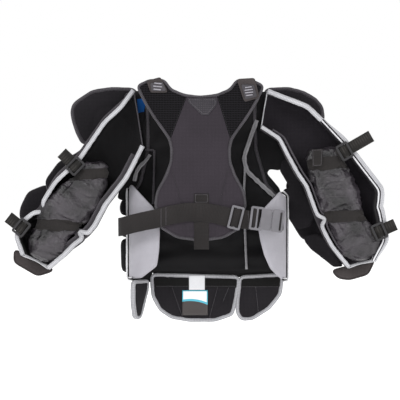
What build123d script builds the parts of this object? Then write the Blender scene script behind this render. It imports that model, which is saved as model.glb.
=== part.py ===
from build123d import *
import math
import os

# Hockey chest-and-arm protector, worn by a junior goalkeeper. Millimetres.
# +Z is up, the wearer faces +Y, and +X is the wearer's right.
# The origin is the middle of the neck opening, at the height of the shoulders.

# ---- Overall sizes ----
chest_half_width = 164.0  # chest liner at the waist, from its middle line
shoulder_slope = 50.0  # the shoulders are this much narrower on each side than the waist
neck_half_width = 66.0  # between the shoulder pads
body_height = 381.0  # from the shoulders down to the hem of the liner
torso_depth = 90.0  # between the liner and the back panel
hang_shift = 10.0  # the empty body hangs this far to the wearer's right at its hem

# ---- Padding and webbing ----
liner_thickness = 12.0
block_thickness = 30.0  # foam blocks on the front
back_thickness = 12.0
flap_thickness = 10.0
bridge_thickness = 8.0
wing_thickness = 8.0
belt_width = 38.0
strap_width = 25.0
webbing_thickness = 2.0
label_thickness = 1.0
plastic_bar = 4.5  # width of the bars in a strap slide
plastic_thickness = 3.5
skin_gap = 0.3  # between faces of pieces that move apart
seam_gap = 3.0  # between padded pieces that share a seam

# ---- Arms ----
arm_wall = 9.0  # padding at the sides of an arm channel
arm_floor = 12.0  # padding over the outside of the arm
arm_depth = 60.0  # of the channel, from its floor to its open edges
arm_set_back = 7.0  # the channel's floor lies this far behind the liner's face
elbow_relief = 37.0  # the walls are cut back by this angle on each side of the elbow
wrap_thickness = 16.0
wrap_lift = 3.0  # the wrap stands this far past the rim
wrap_inset = 4.0  # clearance between the wrap and the walls
guard_thickness = 12.0
elbow_cap_thickness = 14.0
hanger_thickness = 5.5
cap_thickness = 10.0

# ---- Levels worked out from the sizes above ----
shoulder_half_width = chest_half_width - shoulder_slope
liner_face = torso_depth / 2
liner_back = liner_face + liner_thickness
panel_inner = -torso_depth / 2
panel_outer = panel_inner - back_thickness
keeper_outer = panel_outer - webbing_thickness
belt_inner = keeper_outer - skin_gap
belt_outer = belt_inner - webbing_thickness
arm_floor_face = liner_face - arm_set_back  # where the arm lies
arm_back = arm_floor_face + arm_floor
arm_rim = arm_floor_face - arm_depth
elbow_axis_y = arm_floor_face - arm_depth / 2 + 2.0  # in the middle of the arm
sides = {"left": -1, "right": 1}


def hang(x, z):
    """A point of the body, moved sideways as the empty body hangs."""
    return x - hang_shift * z / body_height, z


def slab(outline, y_first, y_last, radius=0.0):
    """A panel with an outline in X and Z, between two depths."""
    points = [(x, y_first, z) for x, z in outline]
    if radius:
        line = FilletPolyline(*points, radius=radius, close=True)
    else:
        line = Polyline(*points, close=True)
    return extrude(make_face(line), amount=y_last - y_first, dir=(0, 1, 0))


def mirrored(half):
    """A closed outline from its right half, given from the top down."""
    return half + [(-x, z) for x, z in reversed(half) if x != 0]


def toward(start, end, distance):
    """The point at a distance from start, on the way to end."""
    length = math.dist(start, end)
    return tuple(a + (b - a) * distance / length for a, b in zip(start, end))


def ribbon(path, low, high, thickness):
    """A strip of webbing on edge between two heights, along a path in X and Y, thickened to its left."""
    offset_points = []
    for i, (x, y) in enumerate(path):
        before = path[max(i - 1, 0)]
        after = path[min(i + 1, len(path) - 1)]
        length = math.dist(before, after)
        normal = (-(after[1] - before[1]) / length, (after[0] - before[0]) / length)
        offset_points.append((x + normal[0] * thickness, y + normal[1] * thickness, low))
    outline = [(x, y, low) for x, y in path] + offset_points[::-1]
    face = make_face(Polyline(*outline, close=True))
    return extrude(face, amount=high - low, dir=(0, 0, 1))


def rounded_plate(width, height, thickness, radius):
    """A plate with rounded corners, lying in its own XY plane and centred."""
    return extrude(RectangleRounded(width, height, radius), amount=thickness)


def strap_slide(webbing, thickness):
    """A two-bar webbing slide: a rounded frame with a middle bar, centred in its XY plane.

    The webbing runs along X, through the slots on each side of the middle bar."""
    slot_width = 6.5
    frame_width = 3 * plastic_bar + 2 * slot_width
    frame_height = webbing + 2 * plastic_bar + 1.0
    corner = 4.0
    frame = rounded_plate(frame_width, frame_height, thickness, corner)
    slot = rounded_plate(slot_width, webbing + 1.0, thickness, 1.0)
    step = (plastic_bar + slot_width) / 2
    return frame - Pos(-step, 0, 0) * slot - Pos(step, 0, 0) * slot


def facing_back(x, y, z, turn):
    """A frame on the wearer's back: its X along the webbing, its Z away from the wearer."""
    return Plane(
        origin=(x, y, z),
        x_dir=(math.cos(math.radians(turn)), 0, math.sin(math.radians(turn))),
        z_dir=(0, -1, 0),
    )


# ---------------------------------------------------------------- chest


def chest_liner():
    """The padded front panel that lies on the chest, with its armholes and neckline."""
    half = [
        (0, -48),
        (36, -42),
        (60, -16),
        (neck_half_width, 6),
        (shoulder_half_width, 6),
        (shoulder_half_width - 3, -60),
        (shoulder_half_width - 2, -125),
        (chest_half_width - 33, -196),
        (chest_half_width - 5, -230),
        (chest_half_width, -body_height),
    ]
    return slab([hang(x, z) for x, z in mirrored(half)], liner_face, liner_back)


def shoulder_bridge(side):
    """The strap pad over one shoulder, from the liner back to the back panel."""
    low, high = 6.0, 6.0 + bridge_thickness
    inner, outer = neck_half_width, shoulder_half_width - 4
    front, back = liner_back, panel_inner + seam_gap
    pad = Box(outer - inner, front - back, high - low)
    place = Pos(side * (inner + outer) / 2, (front + back) / 2, (low + high) / 2)
    return place * pad


sternum_half = 54.0
block_half_width = chest_half_width + 11.0
block_top = -218.0
block_gap = 4.0
block_shares = {"upper": 0.28, "middle": 0.27, "lower": 0.45}  # of the height of the rib blocks
belly_half = 58.0
armpit_relief = 18.0  # cut off the top rib block's outer corner, where the arm swings past


def stacked_rows():
    """The top and bottom of each row of rib blocks, from the breastbone to the hem."""
    rows = {}
    free_height = body_height + block_top - 2 * block_gap
    top = block_top
    for row, share in block_shares.items():
        rows[row] = (top, top - share * free_height)
        top = rows[row][1] - block_gap
    return rows


block_rows = stacked_rows()


def sternum_plate():
    """The hard centre plate over the breastbone."""
    half = [(0, -52), (38, -50), (sternum_half, -78), (48, -190), (26, -210), (0, -213)]
    return slab(mirrored(half), liner_back, liner_back + 0.7 * block_thickness)


def chest_pad(side):
    """One upper block of the front, between the breastbone and the armhole."""
    inner, outer = sternum_half + seam_gap, shoulder_half_width - 4
    half = [(inner, -24), (outer - 6, -12), (outer, -60), (outer, -170), (inner + 20, -213), (inner, -213)]
    return slab([(side * x, z) for x, z in half], liner_back, liner_back + 0.9 * block_thickness)


def belly_pad():
    """The middle block of the front, over the stomach."""
    top, bottom = block_rows["upper"][0], block_rows["lower"][1]
    outline = [(-belly_half, top), (belly_half, top), (belly_half, bottom), (-belly_half, bottom)]
    return slab([hang(x, z) for x, z in outline], liner_back, liner_back + block_thickness, radius=8)


def rib_pad(side, row):
    """One foam block over the ribs."""
    top, bottom = block_rows[row]
    inner, outer = belly_half + seam_gap, block_half_width
    slope = armpit_relief if row == "upper" else 0
    corner = [(outer - slope, top), (outer, top - slope)] if slope else [(outer, top)]
    outline = [(inner, top)] + corner + [(outer, bottom), (inner, bottom)]
    outline = [hang(side * x, z) for x, z in outline]
    return slab(outline, liner_back, liner_back + 0.85 * block_thickness, radius=6)


# ---------------------------------------------------------------- back


def back_panel():
    """The spine pad: wide at the shoulders, a narrow waist, and a bell below the belt."""
    half = [
        (0, -21),
        (33, -17),
        (60, -6),
        (75, 14),
        (104, 13),
        (128, 2),
        (112, -31),
        (93, -62),
        (63, -104),
        (58, -125),
        (59, -152),
        (69, -180),
        (87, -213),
        (91, -238),
        (80, -285),
        (46, -305),
        (0, -311),
    ]
    return slab(mirrored(half), panel_outer, panel_inner)


keeper_x = (-13.0, 17.0)


def belt_keeper():
    """The elastic strip that holds the belt at the middle of the back."""
    low, high = -330.0, -217.0
    outline = [(keeper_x[0], low), (keeper_x[1], low), (keeper_x[1], high), (keeper_x[0], high)]
    return slab(outline, keeper_outer, panel_outer)


belt_line = [(-94, -268.5), (-30, -254.5), (5, -254), (54, -264), (104, -271)]


def belt_back():
    """The middle of the elastic belt, arched over the back panel."""
    rise = belt_width / 2
    upper = Spline(*[(x, belt_outer, z + rise) for x, z in belt_line])
    lower = Spline(*[(x, belt_outer, z - rise) for x, z in reversed(belt_line)])
    right = Line(upper @ 1, lower @ 0)
    left = Line(lower @ 1, upper @ 0)
    face = make_face(upper + right + lower + left)
    return extrude(face, amount=webbing_thickness, dir=(0, 1, 0))


anchor_gap = 1.0


def belt_anchor_left():
    """The end of the belt that is sewn to the left side, from the back round to the front."""
    side_z = round(sum(block_rows["middle"]) / 2)  # sewn level with the middle row of rib blocks
    side_x = hang(-block_half_width, side_z)[0] - skin_gap - webbing_thickness
    start_x = belt_line[0][0] - anchor_gap
    start_z = belt_line[0][1]
    middle_x = (start_x + side_x) / 2 - 2
    path = [
        (start_x, belt_outer),
        (middle_x, panel_inner + 1),
        (side_x, panel_inner + 31),
        (side_x, liner_back + 20),
    ]
    rise = belt_width / 2 + 0.6
    band = [
        (start_x, start_z + rise),
        (side_x, side_z + rise),
        (side_x - 10, side_z + rise),
        (side_x - 10, side_z - rise),
        (side_x, side_z - rise),
        (start_x, start_z - rise),
    ]
    strip = ribbon(path, side_z - 60, side_z + 60, -webbing_thickness)
    return strip & slab(band, belt_outer - 20, liner_back + block_thickness)


def belt_anchor_right():
    """The short end of the belt that is sewn beside the right wing."""
    seam = wing_seam_x["right"]
    path = [(seam - 32, panel_outer + 4), (seam - 12, panel_inner), (seam, -1), (seam + 2, liner_face - 21)]
    rise = belt_width / 2
    centre = -274.0
    return ribbon(path, centre - rise, centre + rise, -webbing_thickness)


belt_slide_place = (71.8, -265.5, -14.0)
buckle_place = (124.0, -268.0, -7.0)
plastic_face = belt_outer - skin_gap


def belt_slide():
    """The slide that takes up the belt."""
    x, z, turn = belt_slide_place
    return facing_back(x, plastic_face, z, turn) * strap_slide(belt_width, plastic_thickness)


buckle_body_start = 20.0  # along the belt, from the back edge of the frame
buckle_body_length = 23.0
buckle_height = belt_width + 8.0
buckle_thickness = 10.0
prong_thickness = 4.0
prong_reach = 15.0
prong_clearance = 0.4


def buckle_prongs_shape(clearance):
    """The three prongs of the buckle, or the pocket for them when there is clearance."""
    grow = 2 * clearance
    side_height = 6.0
    side_centre = buckle_height / 2 - 8.0
    length = prong_reach + clearance
    middle = Box(length, 9.0 + grow, prong_thickness + grow)
    outer = Box(length, side_height + grow, prong_thickness + grow)
    start = Pos(buckle_body_start + length / 2, 0, 0)
    return start * (middle + Pos(0, side_centre, 0) * outer + Pos(0, -side_centre, 0) * outer)


def buckle_frame():
    """The half of the buckle that carries the prongs, with its webbing slots."""
    x, z, turn = buckle_place
    frame_length = 23.0
    slots = strap_slide(belt_width, prong_thickness)
    start = -frame_length / 2 + 1.0
    plate_length = buckle_body_start - 0.5
    plate = Box(plate_length, buckle_height - 3, prong_thickness)
    plate = Pos(plate_length / 2, 0, prong_thickness / 2) * plate
    prongs = Pos(0, 0, prong_thickness / 2) * buckle_prongs_shape(0.0)
    neck_length = 2.0
    neck = Box(neck_length, buckle_height - 14, prong_thickness)
    neck = Pos(buckle_body_start - neck_length / 2, 0, prong_thickness / 2) * neck
    shape = Pos(start, 0, 0) * slots + plate + prongs + neck
    depth = (buckle_thickness - prong_thickness) / 2
    return facing_back(x, plastic_face - depth, z, turn) * shape


def buckle_socket():
    """The half of the buckle that takes the prongs, open at its mouth and at its sides."""
    x, z, turn = buckle_place
    start = buckle_body_start + 2 * prong_clearance + 0.4
    body = Box(buckle_body_length, buckle_height, buckle_thickness)
    body = Pos(start + buckle_body_length / 2, 0, buckle_thickness / 2) * body
    upright = [e for e in body.edges() if abs(e.tangent_at(0.5).Z) > 0.9]
    body = fillet(upright, 4.0)
    pocket = Pos(0, 0, buckle_thickness / 2) * buckle_prongs_shape(prong_clearance)
    bar_slot = Box(4.0, belt_width, buckle_thickness)
    bar_slot = Pos(start + buckle_body_length - 6.0, 0, buckle_thickness / 2) * bar_slot
    return facing_back(x, plastic_face, z, turn) * (body - pocket - bar_slot)


# ---------------------------------------------------------------- shoulder tabs

tab_outlines = {
    "left": [(-110, 12), (-81, 20), (-65, -12), (-101, -12)],
    "right": [(73, 16), (110, 18), (120, -22), (89, -31)],
}
badge_outlines = {
    "left": [(-102, 7), (-77, 10), (-69, -9), (-99, -9)],
    "right": [(82, 5), (108, 4), (115, -20), (91, -26)],
}
tab_thickness = 2.6
badge_thickness = 2.0


def shoulder_tab(side):
    """The hook-and-loop tab that joins the strap pad to the back panel."""
    back = panel_outer - skin_gap
    return slab(tab_outlines[side], back - tab_thickness, back, radius=3)


def tab_badge(side):
    """The moulded rubber badge on a tab."""
    back = panel_outer - skin_gap - tab_thickness
    return slab(badge_outlines[side], back - badge_thickness, back, radius=3)


# ---------------------------------------------------------------- side wings

wing_seam_x = {"left": 11.0 - chest_half_width, "right": chest_half_width + 18.0}
wing_edge_x = {"left": -84.0, "right": 119.0}
wing_seam_y = liner_face - 9.0
wing_edge_y = panel_inner + 8.0
wing_bulge = 12.0
wing_foot = -body_height - 13.0


def wing_outline(side):
    """The outline of a wing, from its seam at the side of the body to its free edge."""
    seam, edge = wing_seam_x[side], wing_edge_x[side]
    if side == "left":
        return [
            (seam - 3, -212),
            (seam + 7, -197),
            (edge - 15, -246),
            (edge - 1, -289),
            (edge - 3, -330),
            (edge - 9, wing_foot + 29),
            (edge - 41, wing_foot + 4),
            (seam - 3, wing_foot),
        ]
    return [
        (seam + 4, -225),
        (seam - 14, -211),
        (edge + 15, -246),
        (edge + 1, -289),
        (edge + 15, -342),
        (edge + 28, wing_foot + 23),
        (seam - 11, wing_foot),
        (seam + 5, wing_foot - 2),
    ]


def side_wing(side):
    """A curved foam wing that closes the side of the body, under the belt."""
    seam = (wing_seam_x[side], wing_seam_y)
    edge = (wing_edge_x[side], wing_edge_y)
    chord = math.dist(seam, edge)
    sign = sides[side]
    away = (sign * (seam[1] - edge[1]) / chord, -abs(edge[0] - seam[0]) / chord)
    middle = ((seam[0] + edge[0]) / 2, (seam[1] + edge[1]) / 2)
    crown = tuple(m + w * wing_bulge for m, w in zip(middle, away))
    inner = [tuple(p - w * wing_thickness for p, w in zip(q, away)) for q in (seam, crown, edge)]
    base = min(z for _, z in wing_outline(side)) - 5
    top = max(z for _, z in wing_outline(side)) + 5
    outer_arc = ThreePointArc(*[(*p, base) for p in (seam, crown, edge)])
    inner_arc = ThreePointArc(*[(*p, base) for p in reversed(inner)])
    ends = Line(outer_arc @ 1, inner_arc @ 0) + Line(inner_arc @ 1, outer_arc @ 0)
    face = make_face(outer_arc + inner_arc + ends)
    wall = extrude(face, amount=top - base, dir=(0, 0, 1))
    return wall & slab(wing_outline(side), -torso_depth, torso_depth)


# ---------------------------------------------------------------- belly flaps

flap_top = -body_height - 5.0


def belly_flap_center():
    """The middle flap over the lower stomach."""
    outline = [
        (-102, flap_top),
        (80, flap_top - 5),
        (73, flap_top - 50),
        (66, flap_top - 82),
        (30, flap_top - 94),
        (-24, flap_top - 94),
        (-60, flap_top - 88),
        (-84, flap_top - 72),
        (-99, flap_top - 44),
    ]
    return slab(outline, liner_face - 1, liner_face - 1 + flap_thickness, radius=4)


def belly_flap_right():
    """The flap on the wearer's right."""
    outline = [
        (84, flap_top - 5),
        (171, flap_top),
        (166, flap_top - 40),
        (143, flap_top - 69),
        (108, flap_top - 91),
        (85, flap_top - 92),
        (77, flap_top - 77),
        (78, flap_top - 50),
    ]
    return slab(outline, liner_face - 1, liner_face - 1 + flap_thickness, radius=3)


side_flap_inner = (-111.0, liner_face + 1.0)
side_flap_outer = (-139.0, liner_face - 53.0)


def belly_flap_left():
    """The flap on the wearer's left, folded inward."""
    width = math.dist(side_flap_inner, side_flap_outer)
    top = flap_top - 13
    along = [(b - a) / width for a, b in zip(side_flap_inner, side_flap_outer)]
    plane = Plane(origin=(*side_flap_inner, 0), x_dir=(*along, 0), z_dir=(along[1], -along[0], 0))
    outline = [
        (0, top),
        (width, top),
        (width, top - 41),
        (width - 8, top - 73),
        (width * 0.55, top - 73),
        (6, top - 21),
    ]
    up = plane.y_dir.Z
    face = make_face(Polyline(*[plane.from_local_coords((u, z * up, 0)) for u, z in outline], close=True))
    return extrude(face, amount=flap_thickness / 2, both=True)


label_top = flap_top - 1.0
tag_top = label_top - 31.0


def care_label():
    """The sewn-in care label."""
    outline = [(-24, label_top), (9, label_top), (9, tag_top + 1), (-24, tag_top + 1)]
    back = liner_face - 1 - skin_gap
    return slab(outline, back - label_thickness, back)


def hang_tag():
    """The card tag that hangs below the care label."""
    outline = [(-38, tag_top), (15, tag_top), (15, tag_top - 52), (-38, tag_top - 52)]
    back = liner_face - 1 - skin_gap
    return slab(outline, back - label_thickness, back)


# ---------------------------------------------------------------- shoulders

# From here on, an outline's first number is how far out a point is from the edge of the shoulder.


def outward(side, points):
    """Points given from the edge of a shoulder, placed on the body."""
    return [(sides[side] * (shoulder_half_width + out), z) for out, z in points]


cap_outlines = {
    "left": [
        (20, 2), (72, 4), (113, -2), (149, -26), (156, -40),
        (153, -62), (145, -86), (132, -112), (76, -96), (32, -58),
    ],
    "right": [
        (20, 2), (70, 4), (100, -3), (127, -18), (141, -35),
        (143, -55), (138, -82), (124, -106), (74, -92), (32, -56),
    ],
}
shoulder_pivot_x = shoulder_half_width + 16.0
shoulder_pivot_z = -24.0


def arm_hanger(side):
    """The fabric-covered plate that hangs an arm from the chest."""
    inner, outer = shoulder_half_width + 1.5, shoulder_half_width + 48
    outline = [(inner, -2), (outer - 22, -4), (outer, -30), (outer, -64), (inner + 22, -92), (inner, -86)]
    front = arm_back + skin_gap
    return slab([(sides[side] * x, z) for x, z in outline], front, front + hanger_thickness, radius=6)


def shoulder_cap(side):
    """The cap that floats over the point of the shoulder, with the block that carries it."""
    stem_front = arm_back + hanger_thickness + 2 * skin_gap
    plate_front = arm_back + guard_thickness + 4.0
    plate = slab(outward(side, cap_outlines[side]), plate_front, plate_front + cap_thickness, radius=8)
    stem_x, stem_z = shoulder_half_width + 33.0, -22.0
    stem = Box(20, plate_front - stem_front + 1, 30)
    place = Pos(sides[side] * stem_x, (plate_front + stem_front + 1) / 2, stem_z)
    return plate + place * stem


# ---------------------------------------------------------------- arms

# Each pair is one station down the arm: the outer edge and the inner edge of the channel.
upper_stations = {
    "left": [
        ((24, 0), (4, -123)),
        ((50, -35), (20, -156)),
        ((84, -66), (37, -189)),
        ((137, -143), (78, -242)),
        ((186, -189), (100, -285)),
        ((221, -244), (117, -305)),
    ],
    "right": [
        ((24, -2), (10, -84)),
        ((108, -35), (45, -107)),
        ((135, -61), (61, -139)),
        ((180, -109), (82, -178)),
        ((223, -166), (99, -202)),
        ((256, -209), (110, -232)),
        ((254, -242), (125, -273)),
    ],
}
fore_stations = {
    "left": [
        ((221, -244), (117, -305)),
        ((258, -275), (141, -322)),
        ((268, -303), (162, -344)),
        ((254, -340), (194, -371)),
    ],
    "right": [
        ((254, -242), (125, -273)),
        ((260, -273), (139, -303)),
        ((266, -312), (152, -326)),
        ((244, -353), (186, -368)),
    ],
}


def station_outline(side, stations, inset=0.0, overrun=0.0):
    """The outline through a list of stations, inset from both edges and run past both ends."""
    placed = [outward(side, pair) for pair in stations]
    outer = [toward(a, b, inset) for a, b in placed]
    inner = [toward(b, a, inset) for a, b in placed]
    if overrun:
        for line in (outer, inner):
            line[0] = toward(line[0], line[1], -overrun)
            line[-1] = toward(line[-1], line[-2], -overrun)
    return outer + inner[::-1]


def elbow_plane(side):
    """A frame at the elbow: X down the forearm, Y across its depth, Z along the elbow's axis."""
    outer, inner = outward(side, upper_stations[side][-1])
    length = math.dist(outer, inner)
    axis = ((inner[0] - outer[0]) / length, (inner[1] - outer[1]) / length)
    down = (axis[1], -axis[0])
    if down[1] > 0:
        down = (-down[0], -down[1])
    middle = ((outer[0] + inner[0]) / 2, (outer[1] + inner[1]) / 2)
    normal = (-down[1], 0, down[0])
    return Plane(origin=(middle[0], elbow_axis_y, middle[1]), x_dir=(down[0], 0, down[1]), z_dir=normal)


def elbow_cutter(side, half):
    """What is taken off one half of the arm, so that the elbow can bend towards the open side."""
    plane = elbow_plane(side)
    reach = 120.0
    open_way = 1 if plane.y_dir.Y < 0 else -1
    slope = math.tan(math.radians(elbow_relief))
    keep_gap = seam_gap / 2
    sign = 1 if half == "upper" else -1
    points = [
        (-sign * keep_gap, -open_way * reach),
        (-sign * keep_gap, 0),
        (-sign * (keep_gap + reach * slope), open_way * reach),
        (sign * 2 * reach, open_way * reach),
        (sign * 2 * reach, -open_way * reach),
    ]
    face = make_face(Polyline(*[plane.from_local_coords((u, v, 0)) for u, v in points], close=True))
    return extrude(face, amount=2 * reach, both=True)


def arm_channel(side, stations, half):
    """One half of an arm: a padded channel, open along the wearer's back."""
    whole = slab(station_outline(side, stations), arm_rim, arm_back)
    hollow = slab(station_outline(side, stations, arm_wall, 40), arm_rim - 1, arm_floor_face)
    return whole - hollow - elbow_cutter(side, half)


def upper_arm_shell(side):
    return arm_channel(side, upper_stations[side], "upper")


def forearm_shell(side):
    return arm_channel(side, fore_stations[side], "lower")


wrap_tops = {
    "left": [((99, -156), (46, -176))],
    "right": [((176, -118), (94, -158))],
}


def bicep_wrap(side):
    """The padded nylon wrap across the upper arm."""
    first = 3
    stations = wrap_tops[side] + upper_stations[side][first:]
    front = arm_rim - wrap_lift
    outline = station_outline(side, stations, arm_wall + wrap_inset)
    wrap = slab(outline, front, front + wrap_thickness)
    return wrap - elbow_cutter(side, "upper")


def forearm_wrap(side):
    """The padded nylon wrap across the forearm."""
    front = arm_rim - wrap_lift
    outline = station_outline(side, fore_stations[side], arm_wall + wrap_inset)
    return slab(outline, front, front + wrap_thickness) - elbow_cutter(side, "lower")


bicep_guards = {
    "left": [
        (118, -112), (148, -134), (182, -150), (211, -190),
        (202, -224), (136, -262), (82, -212), (72, -160),
    ],
    "right": [
        (138, -98), (191, -128), (229, -182), (222, -226),
        (148, -244), (78, -211), (62, -206), (84, -160),
    ],
}
elbow_caps = {
    "left": [
        (208, -197), (248, -213), (264, -246), (266, -268), (238, -300),
        (162, -338), (126, -312), (132, -280), (182, -226),
    ],
    "right": [
        (230, -210), (246, -238), (248, -272), (224, -306), (148, -318),
        (100, -312), (76, -273), (80, -244), (116, -222),
    ],
}
forearm_guards = {
    "left": [(238, -304), (260, -322), (248, -337), (202, -360), (182, -350)],
    "right": [(238, -312), (246, -336), (238, -350), (168, -366), (139, -349), (122, -330), (156, -322)],
}


def bicep_guard(side):
    """The foam guard over the outside of the upper arm."""
    return slab(outward(side, bicep_guards[side]), arm_back, arm_back + guard_thickness, radius=6)


def elbow_cap(side):
    """The cap that floats over the elbow."""
    front = arm_back + guard_thickness + 1.0
    return slab(outward(side, elbow_caps[side]), front, front + elbow_cap_thickness, radius=8)


def forearm_guard(side):
    """The foam guard over the outside of the forearm."""
    return slab(outward(side, forearm_guards[side]), arm_back, arm_back + guard_thickness * 0.8, radius=4)


wrist_lines = {
    "left": ((272, -331), (191, -373)),
    "right": ((248, -352), (160, -374)),
}
wrist_tips = {
    "left": [(274, -359), (226, -387), (206, -381)],
    "right": [(235, -384), (197, -395), (174, -392)],
}


def wrist_pad(side):
    """The flap that covers the back of the wrist, beyond the end of the forearm."""
    start, end = outward(side, wrist_lines[side])
    length = math.dist(start, end)
    down = ((end[1] - start[1]) / length, -(end[0] - start[0]) / length)
    if down[1] > 0:
        down = (-down[0], -down[1])
    edge = [tuple(p + d * seam_gap for p, d in zip(q, down)) for q in (start, end)]
    outline = [edge[0]] + outward(side, wrist_tips[side]) + [edge[1]]
    return slab(outline, arm_floor_face + 1, arm_back - 1)


# Middle of the slide, the way the tail points in degrees, and the lengths on each side of the slide.
arm_straps = {
    "upper_left": (142, -160, 136, 40, 12),
    "lower_left": (252, -286, 142, 36, 14),
    "upper_right": (181, -130, 30, 64, 16),
    "lower_right": (252, -294, 24, 37, 16),
}
strap_outer = arm_rim - wrap_lift - skin_gap


def strap_frame(name, depth):
    """A frame at the slide of an arm strap."""
    out, z, turn, _, _ = arm_straps[name]
    side = name.split("_")[1]
    (x, z), = outward(side, [(out, z)])
    return facing_back(x, depth, z, turn)


def arm_strap(name):
    """A webbing strap over the rim of an arm, with its free tail."""
    _, _, _, tail, root = arm_straps[name]
    strip = Box(tail + root, strap_width, webbing_thickness)
    return strap_frame(name, strap_outer) * (Pos((tail - root) / 2, 0, webbing_thickness / 2) * strip)


def arm_slide(name):
    """The slide that takes up an arm strap."""
    depth = strap_outer - webbing_thickness - skin_gap
    return strap_frame(name, depth) * strap_slide(strap_width, plastic_thickness)


# ---------------------------------------------------------------- write the parts

parts = {
    "chest_liner": chest_liner(),
    "sternum_plate": sternum_plate(),
    "belly_pad": belly_pad(),
    "back_panel": back_panel(),
    "belt_keeper": belt_keeper(),
    "belt_back": belt_back(),
    "belt_anchor_left": belt_anchor_left(),
    "belt_anchor_right": belt_anchor_right(),
    "belt_slide": belt_slide(),
    "buckle_frame": buckle_frame(),
    "buckle_socket": buckle_socket(),
    "belly_flap_center": belly_flap_center(),
    "belly_flap_right": belly_flap_right(),
    "belly_flap_left": belly_flap_left(),
    "care_label": care_label(),
    "hang_tag": hang_tag(),
}
for side, sign in sides.items():
    parts["chest_pad_" + side] = chest_pad(sign)
    parts["shoulder_bridge_" + side] = shoulder_bridge(sign)
    for row in block_rows:
        parts["rib_pad_" + side + "_" + row] = rib_pad(sign, row)
    parts["shoulder_tab_" + side] = shoulder_tab(side)
    parts["tab_badge_" + side] = tab_badge(side)
    parts["side_wing_" + side] = side_wing(side)
    parts["arm_hanger_" + side] = arm_hanger(side)
    parts["shoulder_cap_" + side] = shoulder_cap(side)
    parts["upper_arm_shell_" + side] = upper_arm_shell(side)
    parts["bicep_wrap_" + side] = bicep_wrap(side)
    parts["bicep_guard_" + side] = bicep_guard(side)
    parts["elbow_cap_" + side] = elbow_cap(side)
    parts["forearm_shell_" + side] = forearm_shell(side)
    parts["forearm_wrap_" + side] = forearm_wrap(side)
    parts["forearm_guard_" + side] = forearm_guard(side)
    parts["wrist_pad_" + side] = wrist_pad(side)
    for end in ("upper", "lower"):
        parts["arm_strap_" + end + "_" + side] = arm_strap(end + "_" + side)
        parts["arm_slide_" + end + "_" + side] = arm_slide(end + "_" + side)

os.makedirs("parts", exist_ok=True)
for name, solid in parts.items():
    export_step(solid, "parts/" + name + ".step")
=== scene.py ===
import math
import bpy
import bmesh
import numpy as np
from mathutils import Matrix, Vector, noise
from mathutils.geometry import delaunay_2d_cdt


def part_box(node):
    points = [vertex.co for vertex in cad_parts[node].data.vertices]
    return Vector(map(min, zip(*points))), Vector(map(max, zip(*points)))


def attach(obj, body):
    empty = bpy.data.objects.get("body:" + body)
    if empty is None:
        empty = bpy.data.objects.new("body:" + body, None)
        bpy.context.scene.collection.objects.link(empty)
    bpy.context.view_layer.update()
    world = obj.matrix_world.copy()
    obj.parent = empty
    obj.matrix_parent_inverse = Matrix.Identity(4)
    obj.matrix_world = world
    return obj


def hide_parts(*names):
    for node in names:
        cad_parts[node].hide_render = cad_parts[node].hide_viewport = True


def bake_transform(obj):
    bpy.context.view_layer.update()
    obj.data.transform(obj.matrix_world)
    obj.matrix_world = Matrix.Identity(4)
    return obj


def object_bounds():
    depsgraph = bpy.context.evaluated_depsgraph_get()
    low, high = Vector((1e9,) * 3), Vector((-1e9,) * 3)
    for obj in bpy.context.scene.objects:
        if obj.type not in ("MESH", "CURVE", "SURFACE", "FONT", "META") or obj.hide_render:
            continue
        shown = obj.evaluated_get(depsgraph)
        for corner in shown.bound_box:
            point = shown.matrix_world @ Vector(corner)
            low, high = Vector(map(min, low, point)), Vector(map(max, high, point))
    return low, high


# Chest-and-arm protector for a junior goalkeeper. Sizes in the dictionaries are millimetres,
# +Z is up, the wearer faces +Y and the camera looks at the wearer's back.
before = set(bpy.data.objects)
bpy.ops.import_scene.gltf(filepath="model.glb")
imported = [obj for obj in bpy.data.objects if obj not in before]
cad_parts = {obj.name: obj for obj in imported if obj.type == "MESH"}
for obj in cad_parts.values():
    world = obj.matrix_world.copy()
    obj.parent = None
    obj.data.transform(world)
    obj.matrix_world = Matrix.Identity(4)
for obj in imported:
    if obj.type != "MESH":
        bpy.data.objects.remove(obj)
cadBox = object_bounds()
mm = 0.001
sides = {"left": -1, "right": 1}
print("frame loaded")


# Materials

def toLinear(hexColour):
    channels = [int(hexColour[i:i + 2], 16) / 255 for i in (1, 3, 5)]
    return tuple(c / 12.92 if c <= 0.04045 else ((c + 0.055) / 1.055) ** 2.4 for c in channels) + (1.0,)


def addNode(mat, kind, inputs=None, **settings):
    node = mat.node_tree.nodes.new(kind)
    for key, value in settings.items():
        setattr(node, key, value)
    for key, value in (inputs or {}).items():
        if isinstance(value, bpy.types.NodeSocket):
            mat.node_tree.links.new(value, node.inputs[key])
        else:
            node.inputs[key].default_value = value
    return node


def startMaterial(name, roughness, sheen=0.0, coat=0.0, shine=0.5):
    mat = bpy.data.materials.new(name)
    mat.use_nodes = True
    shader = mat.node_tree.nodes["Principled BSDF"]
    shader.inputs["Roughness"].default_value = roughness
    shader.inputs["Sheen Weight"].default_value = sheen
    shader.inputs["Sheen Roughness"].default_value = 0.5
    shader.inputs["Coat Weight"].default_value = coat
    shader.inputs["Specular IOR Level"].default_value = shine
    return mat, shader


def finishMaterial(mat, shader, colour, height, depthMm, strength=1.0):
    mat.node_tree.links.new(colour, shader.inputs["Base Color"])
    bump = addNode(mat, "ShaderNodeBump", {"Height": height, "Strength": strength, "Distance": depthMm * mm})
    mat.node_tree.links.new(bump.outputs["Normal"], shader.inputs["Normal"])
    return mat


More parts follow.
